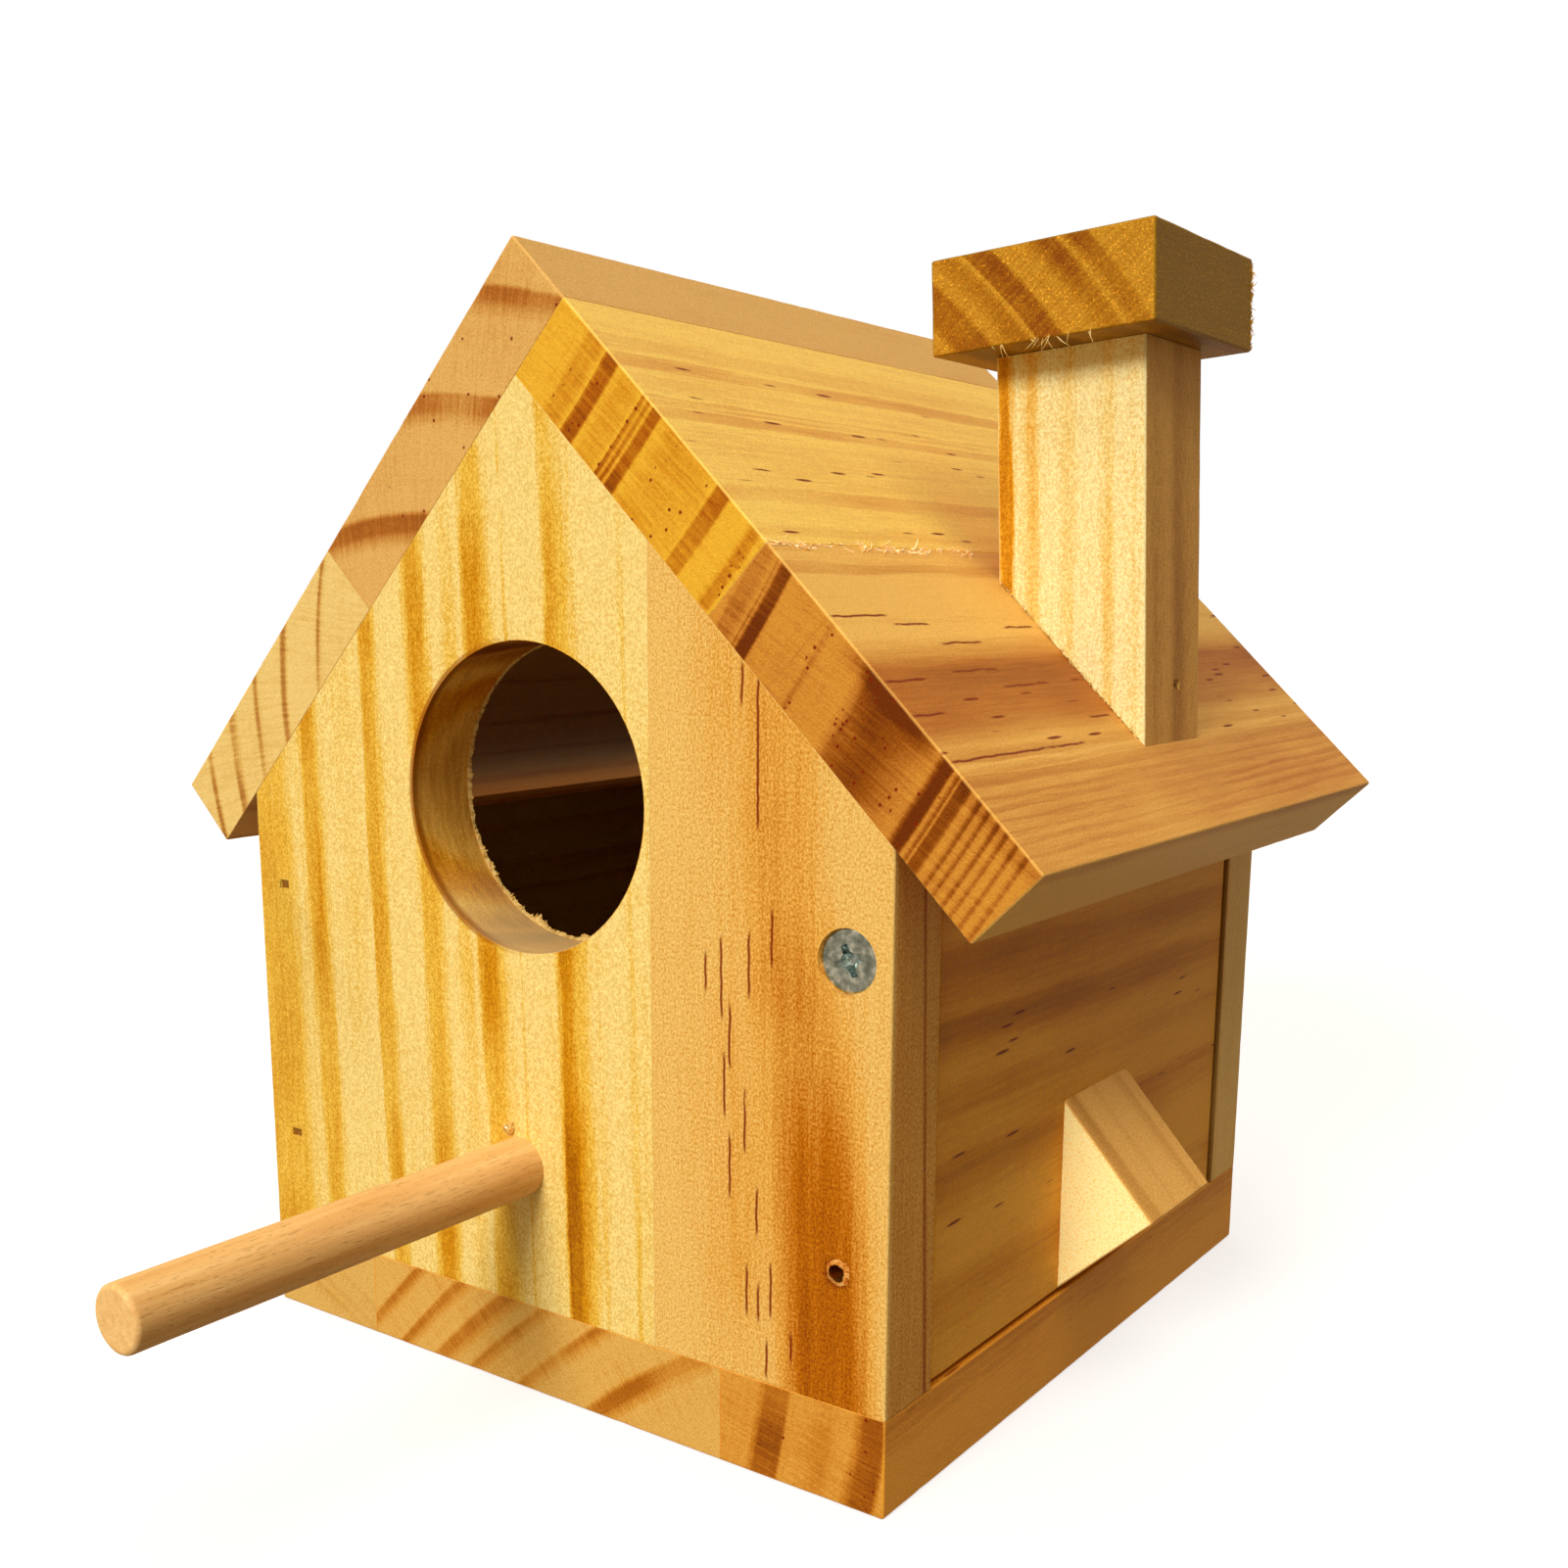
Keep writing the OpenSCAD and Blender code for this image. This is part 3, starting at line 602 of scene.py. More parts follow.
BOARDS = {
    "front_stave_left": Board(**front, pith=(-260, 90), tilt=0.028, rings=[
        (-54, -46, 1, 3, 0.44), (-42.8, -42.4, 1.2, 0.4, 0.3), (-40.6, -38.6, 1.8, 2.0, 0.66),
        (-33, -31, 3, 3, 0.12), (-27.2, -25.4, 1.6, 1.6, 0.55), (-17.4, -15.4, 1.8, 2.2, 0.6),
        (-10.4, -9, 1.6, 1.0, 0.24), (-6.6, -4.4, 1.4, 3.0, 0.70), (0, 0.1, 0.4, 0.3, 0.45),
        (6.8, 8.2, 0.8, 4.2, 0.76), (13.1, 13.2, 0.5, 0.3, 0.2), (18.8, 18.9, 0.6, 0.3, 0.3)],
        face=CREAM, end=DULL_END, bore=(entrance.x, entrance.z, entrance_r), stain=front_left_stain,
        wander=0.6, mottle_and_painted_shade=0.32, seed=1.3),
    "front_stave_right": Board(**front, pith=(-320, 120), tilt=0.01, rings=[
        (31, 37, 7, 5, 0.2), (40, 42, 5, 3, 0.10)], face=BEIGE, end=DULL_END,
        dashes=[(36, 80, 99), (33.8, 94, 99), (38, 64, 71), (34.8, 60, 68), (28.5, 60, 65),
                (30.8, 57, 67), (32, 51, 59), (31.2, 45, 53), (34.2, 41, 49), (32, 35, 43), (36, 31, 37),
                (34.5, 20.5, 27), (36.2, 20, 25), (38, 21, 28), (37.5, 13, 18), (41, 16, 20)],
        stain=front_right_stain, patch=0.14, mottle_and_painted_shade=0.42, seed=2.7),
    "back_stave_left": Board(**back, pith=(40, 70), rings=ring_row(-52, -16, 9, 2.2, 0.5, 0.5, 3),
        face=CREAM, end=DULL_END, painted_inner_shade=(board_t, 0.4), seed=3.1),
    "back_stave_right": Board(**back, pith=(-60, 60), rings=ring_row(-12, 52, 13, 2.4, 0.5, 0.5, 4),
        face=BEIGE, end=DULL_END, canals=[(20, 9, 0.10)], painted_inner_shade=(board_t, 0.4), seed=4.9),
    "left_wall": Board(origin=Vector((-side_x, 0, 0)), across=Z, along=Y, inward=X, pith=(-20, 50),
        rings=ring_row(14, 74, 10, 3.0, 0.8, 0.4, 5), face=BEIGE, end=DULL_END,
        canals=[(40, 12, 0.08)], painted_inner_shade=(board_t, 0.5), seed=5.7),
    "base_stave_left": Board(**ground, pith=(-60, -40), level=6, rings=[
        (-52, -51, 2, 0.5, 0.25), (-44, -43.6, 2, 0.5, 0.22), (-37, -36.8, 2, 0.5, 0.2)],
        face=BASE_SIDE, end=palette("e6ba66 dca850 c08028 90540c"), seed=6.1),
    "base_stave_middle": Board(**ground, pith=(120, -135), level=6, wander=0.5, rings=[
        (-29.6, -28.8, 0.5, 1.5, 0.5), (-21.6, -20.8, 0.5, 1.6, 0.5), (-14.2, -12.6, 0.6, 2, 0.45),
        (-7.2, -6.6, 0.5, 1.6, 0.45), (2.4, 3.2, 0.5, 2, 0.5), (16.2, 18.6, 0.8, 2.0, 0.6)],
        face=BASE_SIDE, end=BASE_END, seed=7.2),
    "base_stave_right": Board(**ground, pith=(-60, 24), level=6, rings=[
        (36.4, 39.6, 1.2, 0.5, 0.62), (45, 46, 3, 1, 0.2), (50.4, 53, 1.8, 0.8, 0.66)],
        face=BASE_SIDE, end=palette("e4a444 d08628 ac6010 783a04"), face_depth=0.4,
        canals=[(38, 2, 0.35), (51, 2, 0.25)], seed=8.4),
    "roof_left_upper": Board(**slope_left, pith=(84, 56), level=5.5, wander=0.5, rings=[
        (3.8, 5.4, 0.5, 2.2, 0.6), (19.4, 22, 0.5, 2.2, 0.66), (39.8, 42.6, 0.8, 2.2, 0.7)],
        face=TAN, end=TAN, face_depth=0.5, canals=[(12, 7, 0.12), (30, 8, 0.12)], mottle_and_painted_shade=0.15,
        seed=9.5),
    "roof_left_lower": Board(**slope_left, pith=(23, 51), level=5.5, wander=0.6, rings=[
        (59.6, 60, 0.7, 0.4, 0.6), (70.6, 71.4, 1, 0.6, 0.66), (79.4, 80, 0.7, 0.5, 0.55),
        (86.8, 87.8, 1.2, 0.6, 0.7), (94.6, 95.2, 0.8, 0.4, 0.6)], face=TAN, end=STRAW,
        face_depth=0.5, mottle_and_painted_shade=0.12, seed=10.4),
    "roof_right_upper": Board(**slope_right, pith=(-150, 14), wander=0.35, rings=[
        (17.6, 19.6, 1.2, 1, 0.36), (21.2, 23, 2, 0.4, 0.84), (24.6, 27, 1, 1, 0.24),
        (28.2, 28.6, 0.4, 0.4, 0.7), (29.3, 29.7, 0.4, 0.3, 0.66), (30.5, 31.8, 0.8, 0.4, 0.84),
        (34, 41, 2, 2, 0.24), (43, 45.2, 2.6, 0.4, 0.76), (50, 51, 1.2, 0.6, 0.36)],
        canals=[(18, 0.5, 0.4), (22.6, 0.8, 0.4), (28.2, 0.5, 0.5), (31, 1, 0.3), (35.6, 0.7, 0.6),
                (39, 0.8, 0.6), (41.2, 0.7, 0.6), (50.2, 1.2, 0.5)],
        face=HONEY, end=AMBER_END, face_depth=0.35, patch=0.16, mottle_and_painted_shade=0.14, seed=11.8),
    "roof_right_lower": Board(**slope_right, pith=(-200, 60), level=5.5, wander=0.35, rings=[
        (53, 54.8, 0.5, 1, 0.3), (55.6, 55.9, 0.6, 0.3, 0.6), (56.9, 58.2, 0.8, 0.4, 0.85),
        (65.8, 66, 0.5, 0.4, 0.4), (73.4, 75, 1.8, 9.6, 0.94), (85.9, 87, 1.2, 0.4, 0.9),
        (88.0, 88.2, 0.4, 0.3, 0.5), (88.6, 90, 0.6, 0.4, 0.6), (91.6, 91.8, 0.5, 0.3, 0.55),
        (93, 93.2, 0.5, 0.3, 0.5), (94.6, 94.8, 0.5, 0.3, 0.55), (96, 96.2, 0.5, 0.3, 0.5),
        (97.6, 97.8, 0.5, 0.3, 0.5), (99.2, 99.5, 0.5, 0.3, 0.45)],
        canals=[(65.8, 0.8, 0.95), (74, 1.6, 0.5), (77.8, 1.4, 0.6), (82, 1.6, 0.4), (86, 1.4, 0.4)],
        dashes=[(64, -57, -45), (65.4, -45, -37), (66.3, -19, -11), (68.6, -38, -28), (73, -41, -30),
                (73.8, -57, -49), (75.8, -32, -20), (78.8, -57, -50), (81.8, -17, -11), (85.4, -57, -24)],
        face=ROAST, end=ROAST_END, face_depth=0.3, stain=roof_right_stain, mottle_and_painted_shade=0.16, seed=12.6),
    "chimney_post": Board(**chimney, pith=(-90, 50), wander=0.4, rings=[
        (-9.4, -8.4, 0.8, 1.0, 0.72), (-5.4, -4.8, 1.4, 0.8, 0.42), (-0.2, 0.4, 1.6, 0.8, 0.26),
        (5, 5.6, 1.2, 0.7, 0.34), (8.4, 8.6, 1, 0.6, 0.16)],
        # The end palette shows on the post's sides: a painted shaded copy of its wood, darker and more
        # saturated than the front
        face=palette("fff4b8 f8dc86 eeaa24 c07404"), end_or_painted_light_axis=chimney_right,
        end=palette("92703a 805c2c 664420 4c3010", SIDE_LIGHT), mottle_and_painted_shade=0.3, seed=13.3),
    "chimney_cap": Board(origin=chimney_foot + chimney_up * (post_len + 6), across=chimney_right,
        along=Y, inward=-chimney_up, pith=(-75, 60), rings=[
        (-16.6, -12.4, 1.0, 0.6, 0.5), (-8.6, -7.2, 1.4, 1.0, 0.36), (-6.2, -2.6, 1.2, 0.6, 0.56),
        (4.0, 5.4, 2, 0.6, 0.46), (7.6, 9.2, 1.4, 0.6, 0.5)],
        face=palette("866416 745410 583c0a 3a2404", 0.7), end=palette("ca942a ae7414 8c4a08 603004"),
        # The cap gets strong painted glints
        mottle_and_painted_shade=0.3, painted_glint_level=0.9, seed=14.9),
    "side_door": Board(origin=Vector((door_x, 0, 0)), across=Z, along=Y, inward=-X, pith=(-60, 40),
        tilt=0.04, wander=1.2, rings=[
        (20, 22, 5, 2, 0.28), (35.5, 36.5, 4, 1.6, 0.26), (44, 46, 4, 2, 0.16), (53.5, 55, 3, 1.6, 0.3),
        (61, 63, 4, 2, 0.26), (69, 71, 4, 2, 0.22)], face=DOOR_SIDE, end=DULL_END, stain=door_stain,
        canals=[(49.5, 2, 0.24), (46, 1.6, 0.24), (54, 1.4, 0.2), (37, 1.2, 0.25), (31, 3.2, 0.16)],
        mottle_and_painted_shade=0.14, patch=0.14, seed=15.5),
    "door_handle": Board(origin=Vector((door_x, handle_low.y, handle_high.z)), across=Y,
        along=Vector((handle_out, 0, -handle_drop)).normalized(),
        inward=Vector((-handle_drop, 0, -handle_out)).normalized(), pith=(-90, 40),
        rings=[(1.6, 3.2, 1.6, 1.2, 0.5), (9, 9.4, 2, 1, 0.15), (16.5, 17, 2, 1, 0.3)],
        # The end palette shows on the handle's front face: a painted lit copy of its wood, paler than its
        # sloping sides
        face=palette("c89c54 bc8c46 a87830 805818", 0.62), end_or_painted_light_axis=Y,
        end=palette("fff2b0 fae494 e8bc52 b88420", 0.8), mottle_and_painted_shade=0.3, seed=16.2),
}


# ---- board meshes

def contact_tree(node_name):
    """Surfaces of the other nodes of a node's body, to tell glued edges from free ones."""
    body = nodes[node_name]["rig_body"]
    verts, faces = [], []
    for name, node in nodes.items():
        if name == node_name or node["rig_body"] != body or name.endswith("brads"):
            continue
        start = len(verts)
        verts += [v.co.copy() for v in node.data.vertices]
        faces += [tuple(start + i for i in p.vertices) for p in node.data.polygons]
    return BVHTree.FromPolygons(verts, faces)


def mesh_from(bm, name, outward=False):
    """Mesh from a finished bmesh, its faces first turned outward if asked."""
    if outward:
        bmesh.ops.recalc_face_normals(bm, faces=bm.faces)
    mesh = bpy.data.meshes.new(name)
    bm.to_mesh(mesh)
    bm.free()
    return mesh


def apply_modifiers(obj):
    """Gives a piece the mesh that its modifiers make."""
    bpy.context.view_layer.update()
    evaluated = obj.evaluated_get(bpy.context.evaluated_depsgraph_get())
    mesh = bpy.data.meshes.new_from_object(evaluated)
    obj.modifiers.clear()
    obj.data = mesh


def finish_mesh(obj, sharp_degrees=40):
    """Smooth shading that keeps flat faces flat."""
    obj.data.shade_smooth()
    obj.data.set_sharp_from_angle(angle=math.radians(sharp_degrees))
    normals = obj.modifiers.new("normals", "WEIGHTED_NORMAL")
    normals.keep_sharp = True


def new_object(name, mesh, node_name, *materials):
    """Links a mesh as a piece with a CAD node's body and material slot."""
    obj = bpy.data.objects.new(name, mesh)
    bpy.context.scene.collection.objects.link(obj)
    for material in materials:
        obj.data.materials.append(material)
    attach(obj, nodes[node_name]["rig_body"])
    return obj


def worn_depth(place, seed):
    """Wear of an arris: shallow dents everywhere, and a few that are deeper and longer."""
    shallow = max(0.0, noise.noise(place / 3.2 + seed))
    deep = max(0.0, noise.noise(place / 6 - seed) - 0.42)
    return 0.07 * (shallow + 3 * deep)


def timber(node_name, material):
    """Copy of a CAD board whose free edges are worn and slightly dented; glued edges stay tight."""
    bm = bmesh.new()
    bm.from_mesh(nodes[node_name].data)
    weight = bm.edges.layers.float.new("bevel_weight_edge")
    bmesh.ops.remove_doubles(bm, verts=bm.verts, dist=1e-6)
    bmesh.ops.dissolve_limit(bm, angle_limit=math.radians(1), verts=bm.verts, edges=bm.edges)
    shortest_worn, cut_gap, arris = 6 * MM, 1.8 * MM, 0.35 * MM
    corner_angle, glued_gap, glued_weight = 0.5, 0.05 * MM, 0.3
    worn_arris_and_highlight = [e for e in bm.edges if e.is_manifold and e.calc_face_angle(0) > corner_angle
            and e.calc_length() > shortest_worn]
    touching = contact_tree(node_name)
    for edge in worn_arris_and_highlight:
        a, b = edge.verts
        gaps = [touching.find_nearest(a.co.lerp(b.co, f))[3] for f in (0.2, 0.5, 0.8)]
        edge[weight] = glued_weight if min(gaps) < glued_gap else 1.0
    for edge in worn_arris_and_highlight:
        cuts = int(edge.calc_length() / cut_gap)
        level = edge[weight]
        made = bmesh.ops.subdivide_edges(bm, edges=[edge], cuts=cuts)
        for part in made["geom_split"]:
            if isinstance(part, bmesh.types.BMEdge):
                part[weight] = level
    bm.normal_update()
    seed = Vector((len(node_name), 3.7, 1.1))
    for vert in bm.verts:
        level = max((e[weight] for e in vert.link_edges), default=0)
        if level > 0:
            vert.co -= vert.normal * (worn_depth(vert.co / MM, seed) * level * MM)
    name = node_name + "_worn"
    obj = new_object(name, mesh_from(bm, name), node_name, material, material)
    bevel = obj.modifiers.new("arris", "BEVEL")
    bevel.width = arris
    bevel.segments = 3
    bevel.limit_method = "WEIGHT"
    bevel.material = 1
    bevel.use_clamp_overlap = False
    bevel.miter_outer = "MITER_SHARP"
    bevel.loop_slide = False
    apply_modifiers(obj)
    # The material tells the rounded arrises by a point attribute, and lightens them as wear and a painted
    # highlight
    done = obj.data
    attribute = done.attributes.new("arris", "FLOAT", "POINT")
    plain = set()
    rounded = set()
    for polygon in done.polygons:
        (rounded if polygon.material_index == 1 else plain).update(polygon.vertices)
        polygon.material_index = 0
    for i in rounded - plain:
        attribute.data[i].value = 1.0
    done.materials.pop(index=1)
    finish_mesh(obj)
    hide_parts(node_name)


# ---- perch, screws, brads, splinters

def turned_mesh(name, profile, segments, place, ripple=None):
    """Closed mesh turned from (height, radius) pairs in mm; ripple adds to the radius."""
    bm = bmesh.new()
    rings = []
    for height, radius in profile:
        ring = []
        for i in range(segments):
            angle = 2 * math.pi * i / segments
            r = radius + (ripple(height, angle) if ripple else 0.0)
            corner = Vector((r * math.cos(angle), r * math.sin(angle), height))
            ring.append(bm.verts.new(place @ corner))
        rings.append(ring)
    for under, over in zip(rings, rings[1:]):
        for i in range(segments):
            j = (i + 1) % segments
            bm.faces.new((under[i], under[j], over[j], over[i]))
    bm.faces.new(rings[0][::-1])
    bm.faces.new(rings[-1])
    return mesh_from(bm, name, outward=True)


def facing_place(origin_mm, outward):
    """Matrix from millimetres with Z along outward to the frame's metres."""
    turn = outward.to_track_quat("Z", "Y").to_matrix().to_4x4()
    return Matrix.Translation(origin_mm * MM) @ turn @ Matrix.Scale(MM, 4)


def beech():
    """Bare beech dowel: fine flecks and soft streaks along it, paler on the end."""
    g = material_graph("beech_dowel")
    x, y, z = g.node("ShaderNodeSeparateXYZ", {0: g.place()}).outputs
    log = g.vector("SUBTRACT", g.join(x, z, y), (perch_x, perch_z, 0))
    end = g.step(g.facing(Y), 0.6, 0.9)
    streak = g.grain(log, 1.3, 30, detail=3, roughness=0.6)
    fleck = g.step(g.grain(log, 0.3, 2.6, detail=1), 0.60, 0.74)
    pore = g.step(g.grain(log, 0.2, 0.9, detail=1), 0.62, 0.72)
    rings = g.grain(log, 0.9, 400, detail=2)
    tone = g.add(streak, g.times(g.minus(rings, 0.5), 0.4), g.times(end, -0.10))
    tones = palette("eec684 e6b874 deaa64 cc944e", 0.96)
    colour = g.ramp(tone, list(zip((0.2, 0.45, 0.66, 0.9), tones)))
    colour = g.mix(g.times(fleck, 0.34), colour, paint("b07838"))
    colour = g.mix(g.times(pore, 0.3), colour, paint("8c5a28"))
    height = g.add(g.times(streak, 0.03), g.times(fleck, -0.02),
                   g.times(g.grain(log, 0.25, 1.5), 0.03))
    return g.surface(height, Base_Color=colour, Roughness=0.66, Specular_IOR_Level=0.25)


def perch():
    """The dowel, its front end rounded over."""
    length = perch_high.y - perch_low.y
    edge, edge_steps, ring_gap = 0.7, 4, 1.5
    body_len = length - edge
    parts = int(body_len / ring_gap)
    profile = [(i * body_len / parts, perch_r) for i in range(parts + 1)]
    for i in range(1, edge_steps + 1):
        a = math.pi / 2 * i / edge_steps
        profile.append((body_len + edge * math.sin(a), perch_r - edge * (1 - math.cos(a))))

    def whittle(height, angle):
        return -0.05 * abs(noise.noise(Vector((math.cos(angle), math.sin(angle), height / 9))))

    place = facing_place(Vector((perch_x, perch_high.y, perch_z)), -Y)
    mesh = turned_mesh("perch_dowel", profile, 64, place, whittle)
    obj = new_object("perch_dowel", mesh, "perch", beech())
    finish_mesh(obj, 50)
    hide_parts("perch")


def zinc():
    """Grey-green zinc plate with dulled patches and fine scratches; its brightest patches are partly
    painted highlights.
    """
    g = material_graph("zinc_plate")
    place = g.place()
    patch = g.noise(g.vector("MULTIPLY", place, (0.9,) * 3), detail=3)
    scratch = g.noise(g.vector("MULTIPLY", place, (9.0, 2.0, 3.0)), detail=2)
    # Colour from dark to near white over the patches: plating tone, and partly painted highlights
    colour = g.ramp(patch, [(0.3, (0.26, 0.33, 0.32)), (0.5, (0.5, 0.58, 0.56)),
                            (0.64, (0.85, 0.92, 0.9))])
    rough = g.step(g.add(patch, g.times(g.minus(scratch, 0.5), 0.4)), 0.3, 0.75, 0.16, 0.34)
    height = g.add(g.times(patch, 0.02), g.times(scratch, 0.006))
    return g.surface(height, Base_Color=colour, Metallic=1.0, Roughness=rough)


def tapered_bar(width, height, depth, bottom_share, bottom_width, place):
    """Cutter for one arm of the screw's cross, narrower at the bottom."""
    bm = bmesh.new()
    bmesh.ops.create_cube(bm, size=1)
    for vert in bm.verts:
        under = vert.co.z < 0
        vert.co.x *= width * (bottom_share if under else 1)
        vert.co.y *= bottom_width if under else height
        vert.co.z = -depth if under else 1.0
        vert.co = place @ vert.co
    return mesh_from(bm, "cutter")


def cut_away(obj, cutter_meshes):
    """Boolean difference of a piece and its cutters, applied."""
    cutters = []
    for mesh in cutter_meshes:
        cutter = bpy.data.objects.new("cutter", mesh)
        bpy.context.scene.collection.objects.link(cutter)
        cutters.append(cutter)
        cut = obj.modifiers.new("cut", "BOOLEAN")
        cut.object = cutter
        cut.solver = "EXACT"
    apply_modifiers(obj)
    for cutter in cutters:
        bpy.data.objects.remove(cutter)


def screw(node_name, outward, turn_degrees, material):
    """Countersunk screw with a cross recess and a helical thread."""
    lowest, highest = low(node_name), high(node_name)
    head_r = (highest.z - lowest.z) / 2
    middle_z = (highest.z + lowest.z) / 2
    face_y = lowest.y if outward.y < 0 else highest.y
    length = highest.y - lowest.y
    shank_r, core_r, thread_r, pitch, tip = 2.0, 1.3, 1.9, 1.8, 3.0
    thread_top, thread_bottom, runout = -12.5, -length + tip, 1.5
    steps, rim = 120, 0.25
    step_up = (thread_top - thread_bottom) / steps
    profile = [(-length, 0.12)]
    profile += [(thread_bottom + step_up * i, core_r) for i in range(steps + 1)]
    profile += [(thread_top + 0.3, shank_r), (-(head_r - shank_r), shank_r), (-rim, head_r - 0.02),
                (-rim * 0.4, head_r), (-0.05, head_r - 0.12), (0.0, head_r - 0.4)]

    def thread(height, angle):
        if not thread_bottom - runout < height < thread_top - 0.1:
            return 0.0
        phase = (height / pitch - angle / (2 * math.pi)) % 1.0
        fade = min(1.0, (height - thread_bottom + runout) / 2, thread_top - height)
        return (thread_r - core_r) * max(0.0, 1 - abs(phase - 0.5) / 0.26) * fade

    place = facing_place(Vector((pivot.x, face_y, middle_z)), outward)
    place = place @ Matrix.Rotation(math.radians(turn_degrees), 4, "Z")
    mesh = turned_mesh(node_name + "_plated", profile, 48, place, thread)
    obj = new_object(node_name + "_plated", mesh, node_name, material)
    quarter = Matrix.Rotation(math.pi / 2, 4, "Z")
    pit = turned_mesh("cutter", [(-1.9, 0.25), (-1.5, 0.75), (1.0, 1.35)], 24, place)
    arm = dict(width=5.0, height=1.15, depth=1.7, bottom_share=0.4, bottom_width=0.7)
    cut_away(obj, [tapered_bar(place=place, **arm), tapered_bar(place=place @ quarter, **arm), pit])
    soften = obj.modifiers.new("soften", "BEVEL")
    soften.width = 0.06 * MM
    soften.segments = 2
    soften.limit_method = "ANGLE"
    soften.angle_limit = math.radians(50)
    finish_mesh(obj, 35)
    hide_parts(node_name)


def tarnished_steel():
    """Brad wire: rust brown, with darker mottling."""
    g = material_graph("brad_steel")
    place = g.place()
    rust = g.noise(g.vector("MULTIPLY", place, (2.5,) * 3), detail=3)
    colour = g.ramp(rust, [(0.35, (0.20, 0.080, 0.010)), (0.6, (0.42, 0.18, 0.025)),
                           (0.75, (0.54, 0.27, 0.05))])
    return g.surface(g.times(rust, 0.05), Base_Color=colour, Metallic=0.4, Roughness=0.6,
                     Specular_IOR_Level=0.2)


def raw_wood(name, codes, light=FRONT_LIGHT):
    """Torn or cut fibres that the varnish hardly coloured."""
    g = material_graph(name)
    place = g.place()
    tone = g.noise(g.vector("MULTIPLY", place, (1.6,) * 3), detail=3)
    colour = g.ramp(tone, list(zip((0.3, 0.5, 0.65, 0.8), palette(codes, light))))
    return g.surface(g.times(tone, 0.03), Base_Color=colour, Roughness=0.7,
                     Specular_IOR_Level=0.2)


def ragged_ring(name, material, hole, stations, seed, section):
    """Closed ring around a hole of the front panel.

    section(rng, out) gives its four corners in the direction out, as (radius, depth) in mm.
    """
    rng = random.Random(seed)
    bm = bmesh.new()
    rings = []
    for i in range(stations):
        a = 2 * math.pi * i / stations
        out = Vector((math.cos(a), 0, math.sin(a)))
        rings.append([bm.verts.new((hole + out * r + Y * y) * MM) for r, y in section(rng, out)])
    for ring, following in zip(rings, rings[1:] + rings[:1]):
        for k in range(4):
            j = (k + 1) % 4
            bm.faces.new((ring[k], ring[j], following[j], following[k]))
    new_object(name, mesh_from(bm, name, outward=True), "front_stave_left", material)


def torn_rim(rng, out):
    """Splintered fringe around the back of the entrance, longest at the lower left."""
    back_edge = board_t - 0.02
    lower_left = max(0.0, out.dot(Vector((-0.62, 0, -0.78)))) ** 0.7
    lump = 0.5 + noise.noise(out * 9)
    reach = 0.1 + 0.15 * rng.random()
    reach += lower_left * max(0.0, lump) * (0.3 + 0.9 * rng.random() ** 2)
    tip = back_edge - 0.1 * rng.random()
    return ((entrance_r + 0.25, back_edge - 0.5), (entrance_r - 0.3 * reach, back_edge - 0.45),
            (entrance_r - reach, tip), (entrance_r + 0.25, back_edge))


def raised_burr(rng, out):
    """Torn fibres raised around the lock hole, widest at its upper right."""
    side = 0.5 + 0.5 * out.dot(Vector((0.8, 0, 0.6)))
    spread = side * (0.35 + 0.5 * abs(noise.noise(out * 3)))
    outer = lock_hole_r + 0.15 + spread + 0.12 * rng.random()
    inner = lock_hole_r - 0.05 - 0.5 * side * rng.random() * (0.5 + noise.noise(out * 2.5))
    lift = 0.05 + 0.12 * rng.random()
    return (outer, 0.05), (outer - 0.1, -lift * 0.4), (inner, -lift), (inner + 0.05, 0.3)


def splinters(name, node_name, material, places, seed):
    """Thin curved fibres of a node; places are (root, direction, length, thickness) in mm."""
    rng = random.Random(seed)
    stations = 5
    rooted, taper, flatness, bend = 0.12, 0.85, 0.6, 0.5
    # Corners of a fibre's section, a third of a turn apart
    thirds = (0, 2.09, 4.19)
    bm = bmesh.new()
    for root, direction, length, thickness in places:
        direction = direction.normalized()
        side = direction.orthogonal().normalized()
        other = direction.cross(side)
        curl = (side * rng.uniform(-1, 1) + other * rng.uniform(-1, 1)) * bend * length
        rings = []
        for i in range(stations):
            f = i / (stations - 1)
            middle = root + direction * (length * (f - rooted)) + curl * f * f
            half = thickness / 2 * (1 - taper * f)
            offsets = [(side * math.cos(a) + other * math.sin(a) * flatness) * half for a in thirds]
            rings.append([bm.verts.new((middle + offset) * MM) for offset in offsets])
        for under, over in zip(rings, rings[1:]):
            for k in range(3):
                j = (k + 1) % 3
                bm.faces.new((under[k], under[j], over[j], over[k]))
        bm.faces.new(rings[0][::-1])
        bm.faces.new(rings[-1])
    new_object(name, mesh_from(bm, name, outward=True), node_name, material)


def scatter(count, seed, place_of):
    """Repeats place_of(random generator) with a seeded generator."""
    rng = random.Random(seed)
    return [place_of(rng) for _ in range(count)]


def cap_fibre(rng):
    """Hanging under the cap's front edge."""
    root = chimney_foot + chimney_right * rng.uniform(-8, 6) + chimney_up * (post_len + 0.15)
    root -= Y * (cap_front - rng.uniform(0.0, 0.25))
    aim = chimney_right * rng.uniform(-0.7, 0.7) - chimney_up * rng.uniform(0.5, 1.0)
    aim += Y * rng.uniform(-0.1, 0.5)
    return root, aim, rng.uniform(0.5, 2.2), rng.uniform(0.12, 0.26)


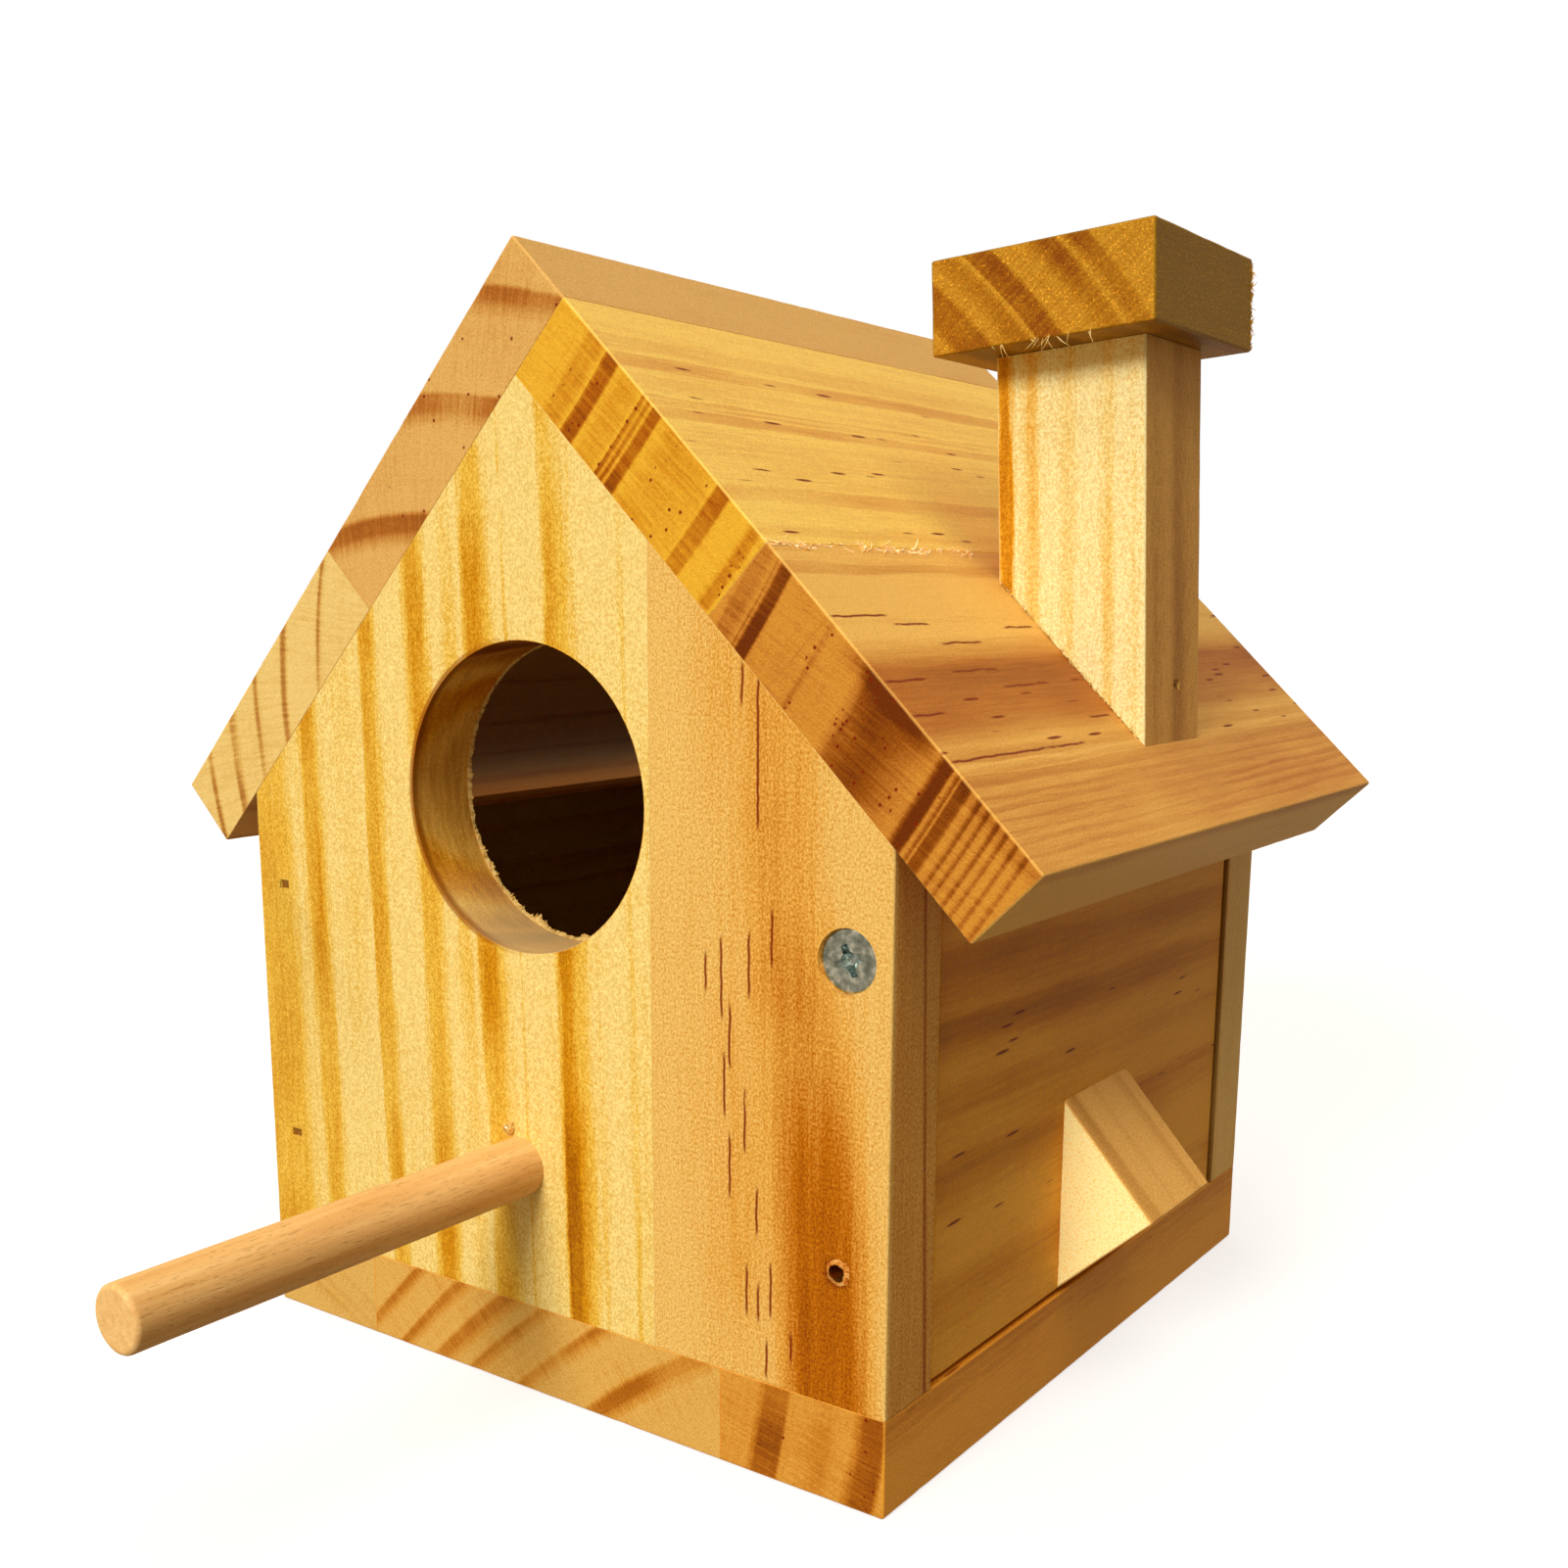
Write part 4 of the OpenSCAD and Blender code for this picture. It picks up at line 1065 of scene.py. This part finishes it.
def foot_fibre(rng):
    """Torn up where the post's foot was cut, along the foot of its front face."""
    u = rng.uniform(-post_w / 2, post_w / 2)
    root = Vector((post_x + u, -post_d / 2 - rng.uniform(-0.1, 0.15), peak.z - post_x - u + 0.1))
    aim = down_right * rng.uniform(-0.6, 1.0) - Y * rng.uniform(0.2, 1.0) + Z * rng.uniform(0.0, 0.7)
    return root, aim, rng.uniform(0.3, 1.3), rng.uniform(0.14, 0.32)


def joint_fibre(rng):
    """Raised along the glued joint of the right roof board."""
    run = roof_joint + rng.gauss(0.35, 0.35)
    root = peak + down_right * run + Y * rng.uniform(front_y + 1, -10)
    aim = Y * rng.choice((-1, 1)) + down_right * rng.uniform(-0.35, 0.35)
    aim += slope_up * rng.uniform(0.02, 0.12)
    return root, aim, rng.uniform(0.8, 2.6), rng.uniform(0.16, 0.34)


def cap_back_fibre(rng):
    """Rough sawn rear edge of the cap's right side."""
    height = rng.uniform(0.3, cap_h - 0.3)
    root = chimney_foot + chimney_right * (cap_right - rng.uniform(0, 0.1))
    root += chimney_up * (post_len + height) + Y * (cap_back - rng.uniform(0.1, 0.5))
    aim = chimney_right * rng.uniform(0.05, 0.3) + Y * rng.uniform(0.05, 0.4)
    aim += chimney_up * rng.uniform(-1, 1)
    return root, aim, rng.uniform(0.3, 0.9), rng.uniform(0.2, 0.4)


def glue_bead():
    """Squeezed-out glue at the top left of the perch."""
    bm = bmesh.new()
    bmesh.ops.create_icosphere(bm, subdivisions=4, radius=1.0)
    centre = Vector((perch_x - 1.9, front_y - 0.15, perch_z + perch_r + 1.0))
    squash = Matrix.Diagonal((1.0, 0.55, 0.85))
    for vert in bm.verts:
        lump = 1 + 0.35 * noise.noise(vert.co * 1.7)
        vert.co = (centre + squash @ vert.co * lump) * MM
    mesh = mesh_from(bm, "perch_glue")
    mesh.shade_smooth()
    g = material_graph("dried_glue")
    place = g.place()
    cloud = g.noise(g.vector("MULTIPLY", place, (2.2,) * 3), detail=2)
    colour = g.ramp(cloud, [(0.3, paint("f0cc70")), (0.7, paint("c88c28"))])
    material = g.surface(g.times(cloud, 0.05), Base_Color=colour, Roughness=0.22, Coat_Weight=0.4,
                         Coat_Roughness=0.1, Subsurface_Weight=0.3, Subsurface_Scale=0.001)
    new_object("perch_glue", mesh, "perch", material)


# ---- scene

def world():
    """White backdrop, and a dimmer warm fill for the object, stronger from the left and behind."""
    g = Graph(bpy.data.worlds.new("studio"))
    towards = g.node("ShaderNodeTexCoord").outputs["Generated"]
    left = g.vector("DOT_PRODUCT", towards, Vector((-0.7, -0.5, 0.5)).normalized())
    behind = g.vector("DOT_PRODUCT", towards, Vector((-0.2, 0.9, 0.2)).normalized())
    strength = g.add(g.step(left, -1.0, 1.0, 0.21, 0.44), g.step(behind, 0.2, 1.0, 0.0, 0.3))
    fill = g.node("ShaderNodeBackground", {0: (1.0, 0.80, 0.56), 1: strength})
    seen = g.node("ShaderNodeBackground", {0: (1.0, 1.0, 1.0), 1: 1.0})
    camera_ray = g.node("ShaderNodeLightPath").outputs["Is Camera Ray"]
    mix = g.node("ShaderNodeMixShader", {0: camera_ray, 1: fill.outputs[0], 2: seen.outputs[0]})
    g.node("ShaderNodeOutputWorld", {0: mix.outputs[0]})
    bpy.context.scene.world = g.holder


def floor():
    """Plain pale floor, a wide disc that only takes shadows."""
    bm = bmesh.new()
    bmesh.ops.create_circle(bm, cap_ends=True, segments=96, radius=4.0)
    mesh = mesh_from(bm, "floor")
    g = material_graph("floor_paint")
    grain = g.noise(g.vector("MULTIPLY", g.place(), (0.9,) * 3))
    colour = g.mix(grain, (0.34, 0.34, 0.34), (0.36, 0.36, 0.36))
    mesh.materials.append(g.surface(g.times(grain, 0.01), Base_Color=colour, Roughness=0.8,
                                    Emission_Color=(1.0, 1.0, 1.0), Emission_Strength=0.70))
    obj = bpy.data.objects.new("floor", mesh)
    obj.location.z = -0.1 * MM
    obj.visible_diffuse = False
    obj.visible_glossy = False
    bpy.context.scene.collection.objects.link(obj)


bpy.context.scene.view_settings.view_transform = "Standard"
camera()
sun("key", azimuth=1, elevation=28, strength=2.3, softness=18, colour=(1.0, 0.97, 0.92))
sun("top", azimuth=40, elevation=74, strength=1.45, softness=40, colour=(1.0, 0.96, 0.88))
world()
floor()
for node_name, board in BOARDS.items():
    timber(node_name, pine("pine_" + node_name, board))
perch()
glue_bead()
plate = zinc()
screw("pivot_screw_front", -Y, 22, plate)
screw("pivot_screw_rear", Y, 65, plate)
brad_finish = tarnished_steel()
for node_name, node in nodes.items():
    if node_name.endswith("brads"):
        node.data.materials.clear()
        node.data.materials.append(brad_finish)
fresh_wood = raw_wood("torn_fibres", "fbe8a8 f4d888 e4b860 c89038")
rim_wood = raw_wood("torn_rim_fibres", "e8cc84 d8b468 b88c40 8c6424")
ragged_ring("entrance_torn_rim", rim_wood, entrance, 520, 5, torn_rim)
burr_wood = raw_wood("burr_fibres", "f0b868 d88c34 b4600c 8c3c04")
ragged_ring("lock_hole_burr", burr_wood, lock_hole, 90, 8, raised_burr)
# Divided by a light of 0.7, less than the slope gets, so these fibres are painted brighter to stay pale
# in their own shade
raised_wood_painted_light = raw_wood("raised_fibres", "fff4dc fdeac4 f6dcac ecc890", 0.7)
sawn_wood = raw_wood("sawn_edge", "a07828 8c661c 6c4c10 4c3408", SIDE_LIGHT)
splinters("chimney_cap_fibres", "chimney_post", fresh_wood, scatter(15, 21, cap_fibre), 1)
splinters("chimney_foot_fibres", "chimney_post", fresh_wood, scatter(120, 22, foot_fibre), 2)
splinters("roof_joint_fibres", "chimney_post", raised_wood_painted_light, scatter(90, 23, joint_fibre), 3)
splinters("chimney_cap_back_fibres", "chimney_cap", sawn_wood, scatter(60, 24, cap_back_fibre), 4)
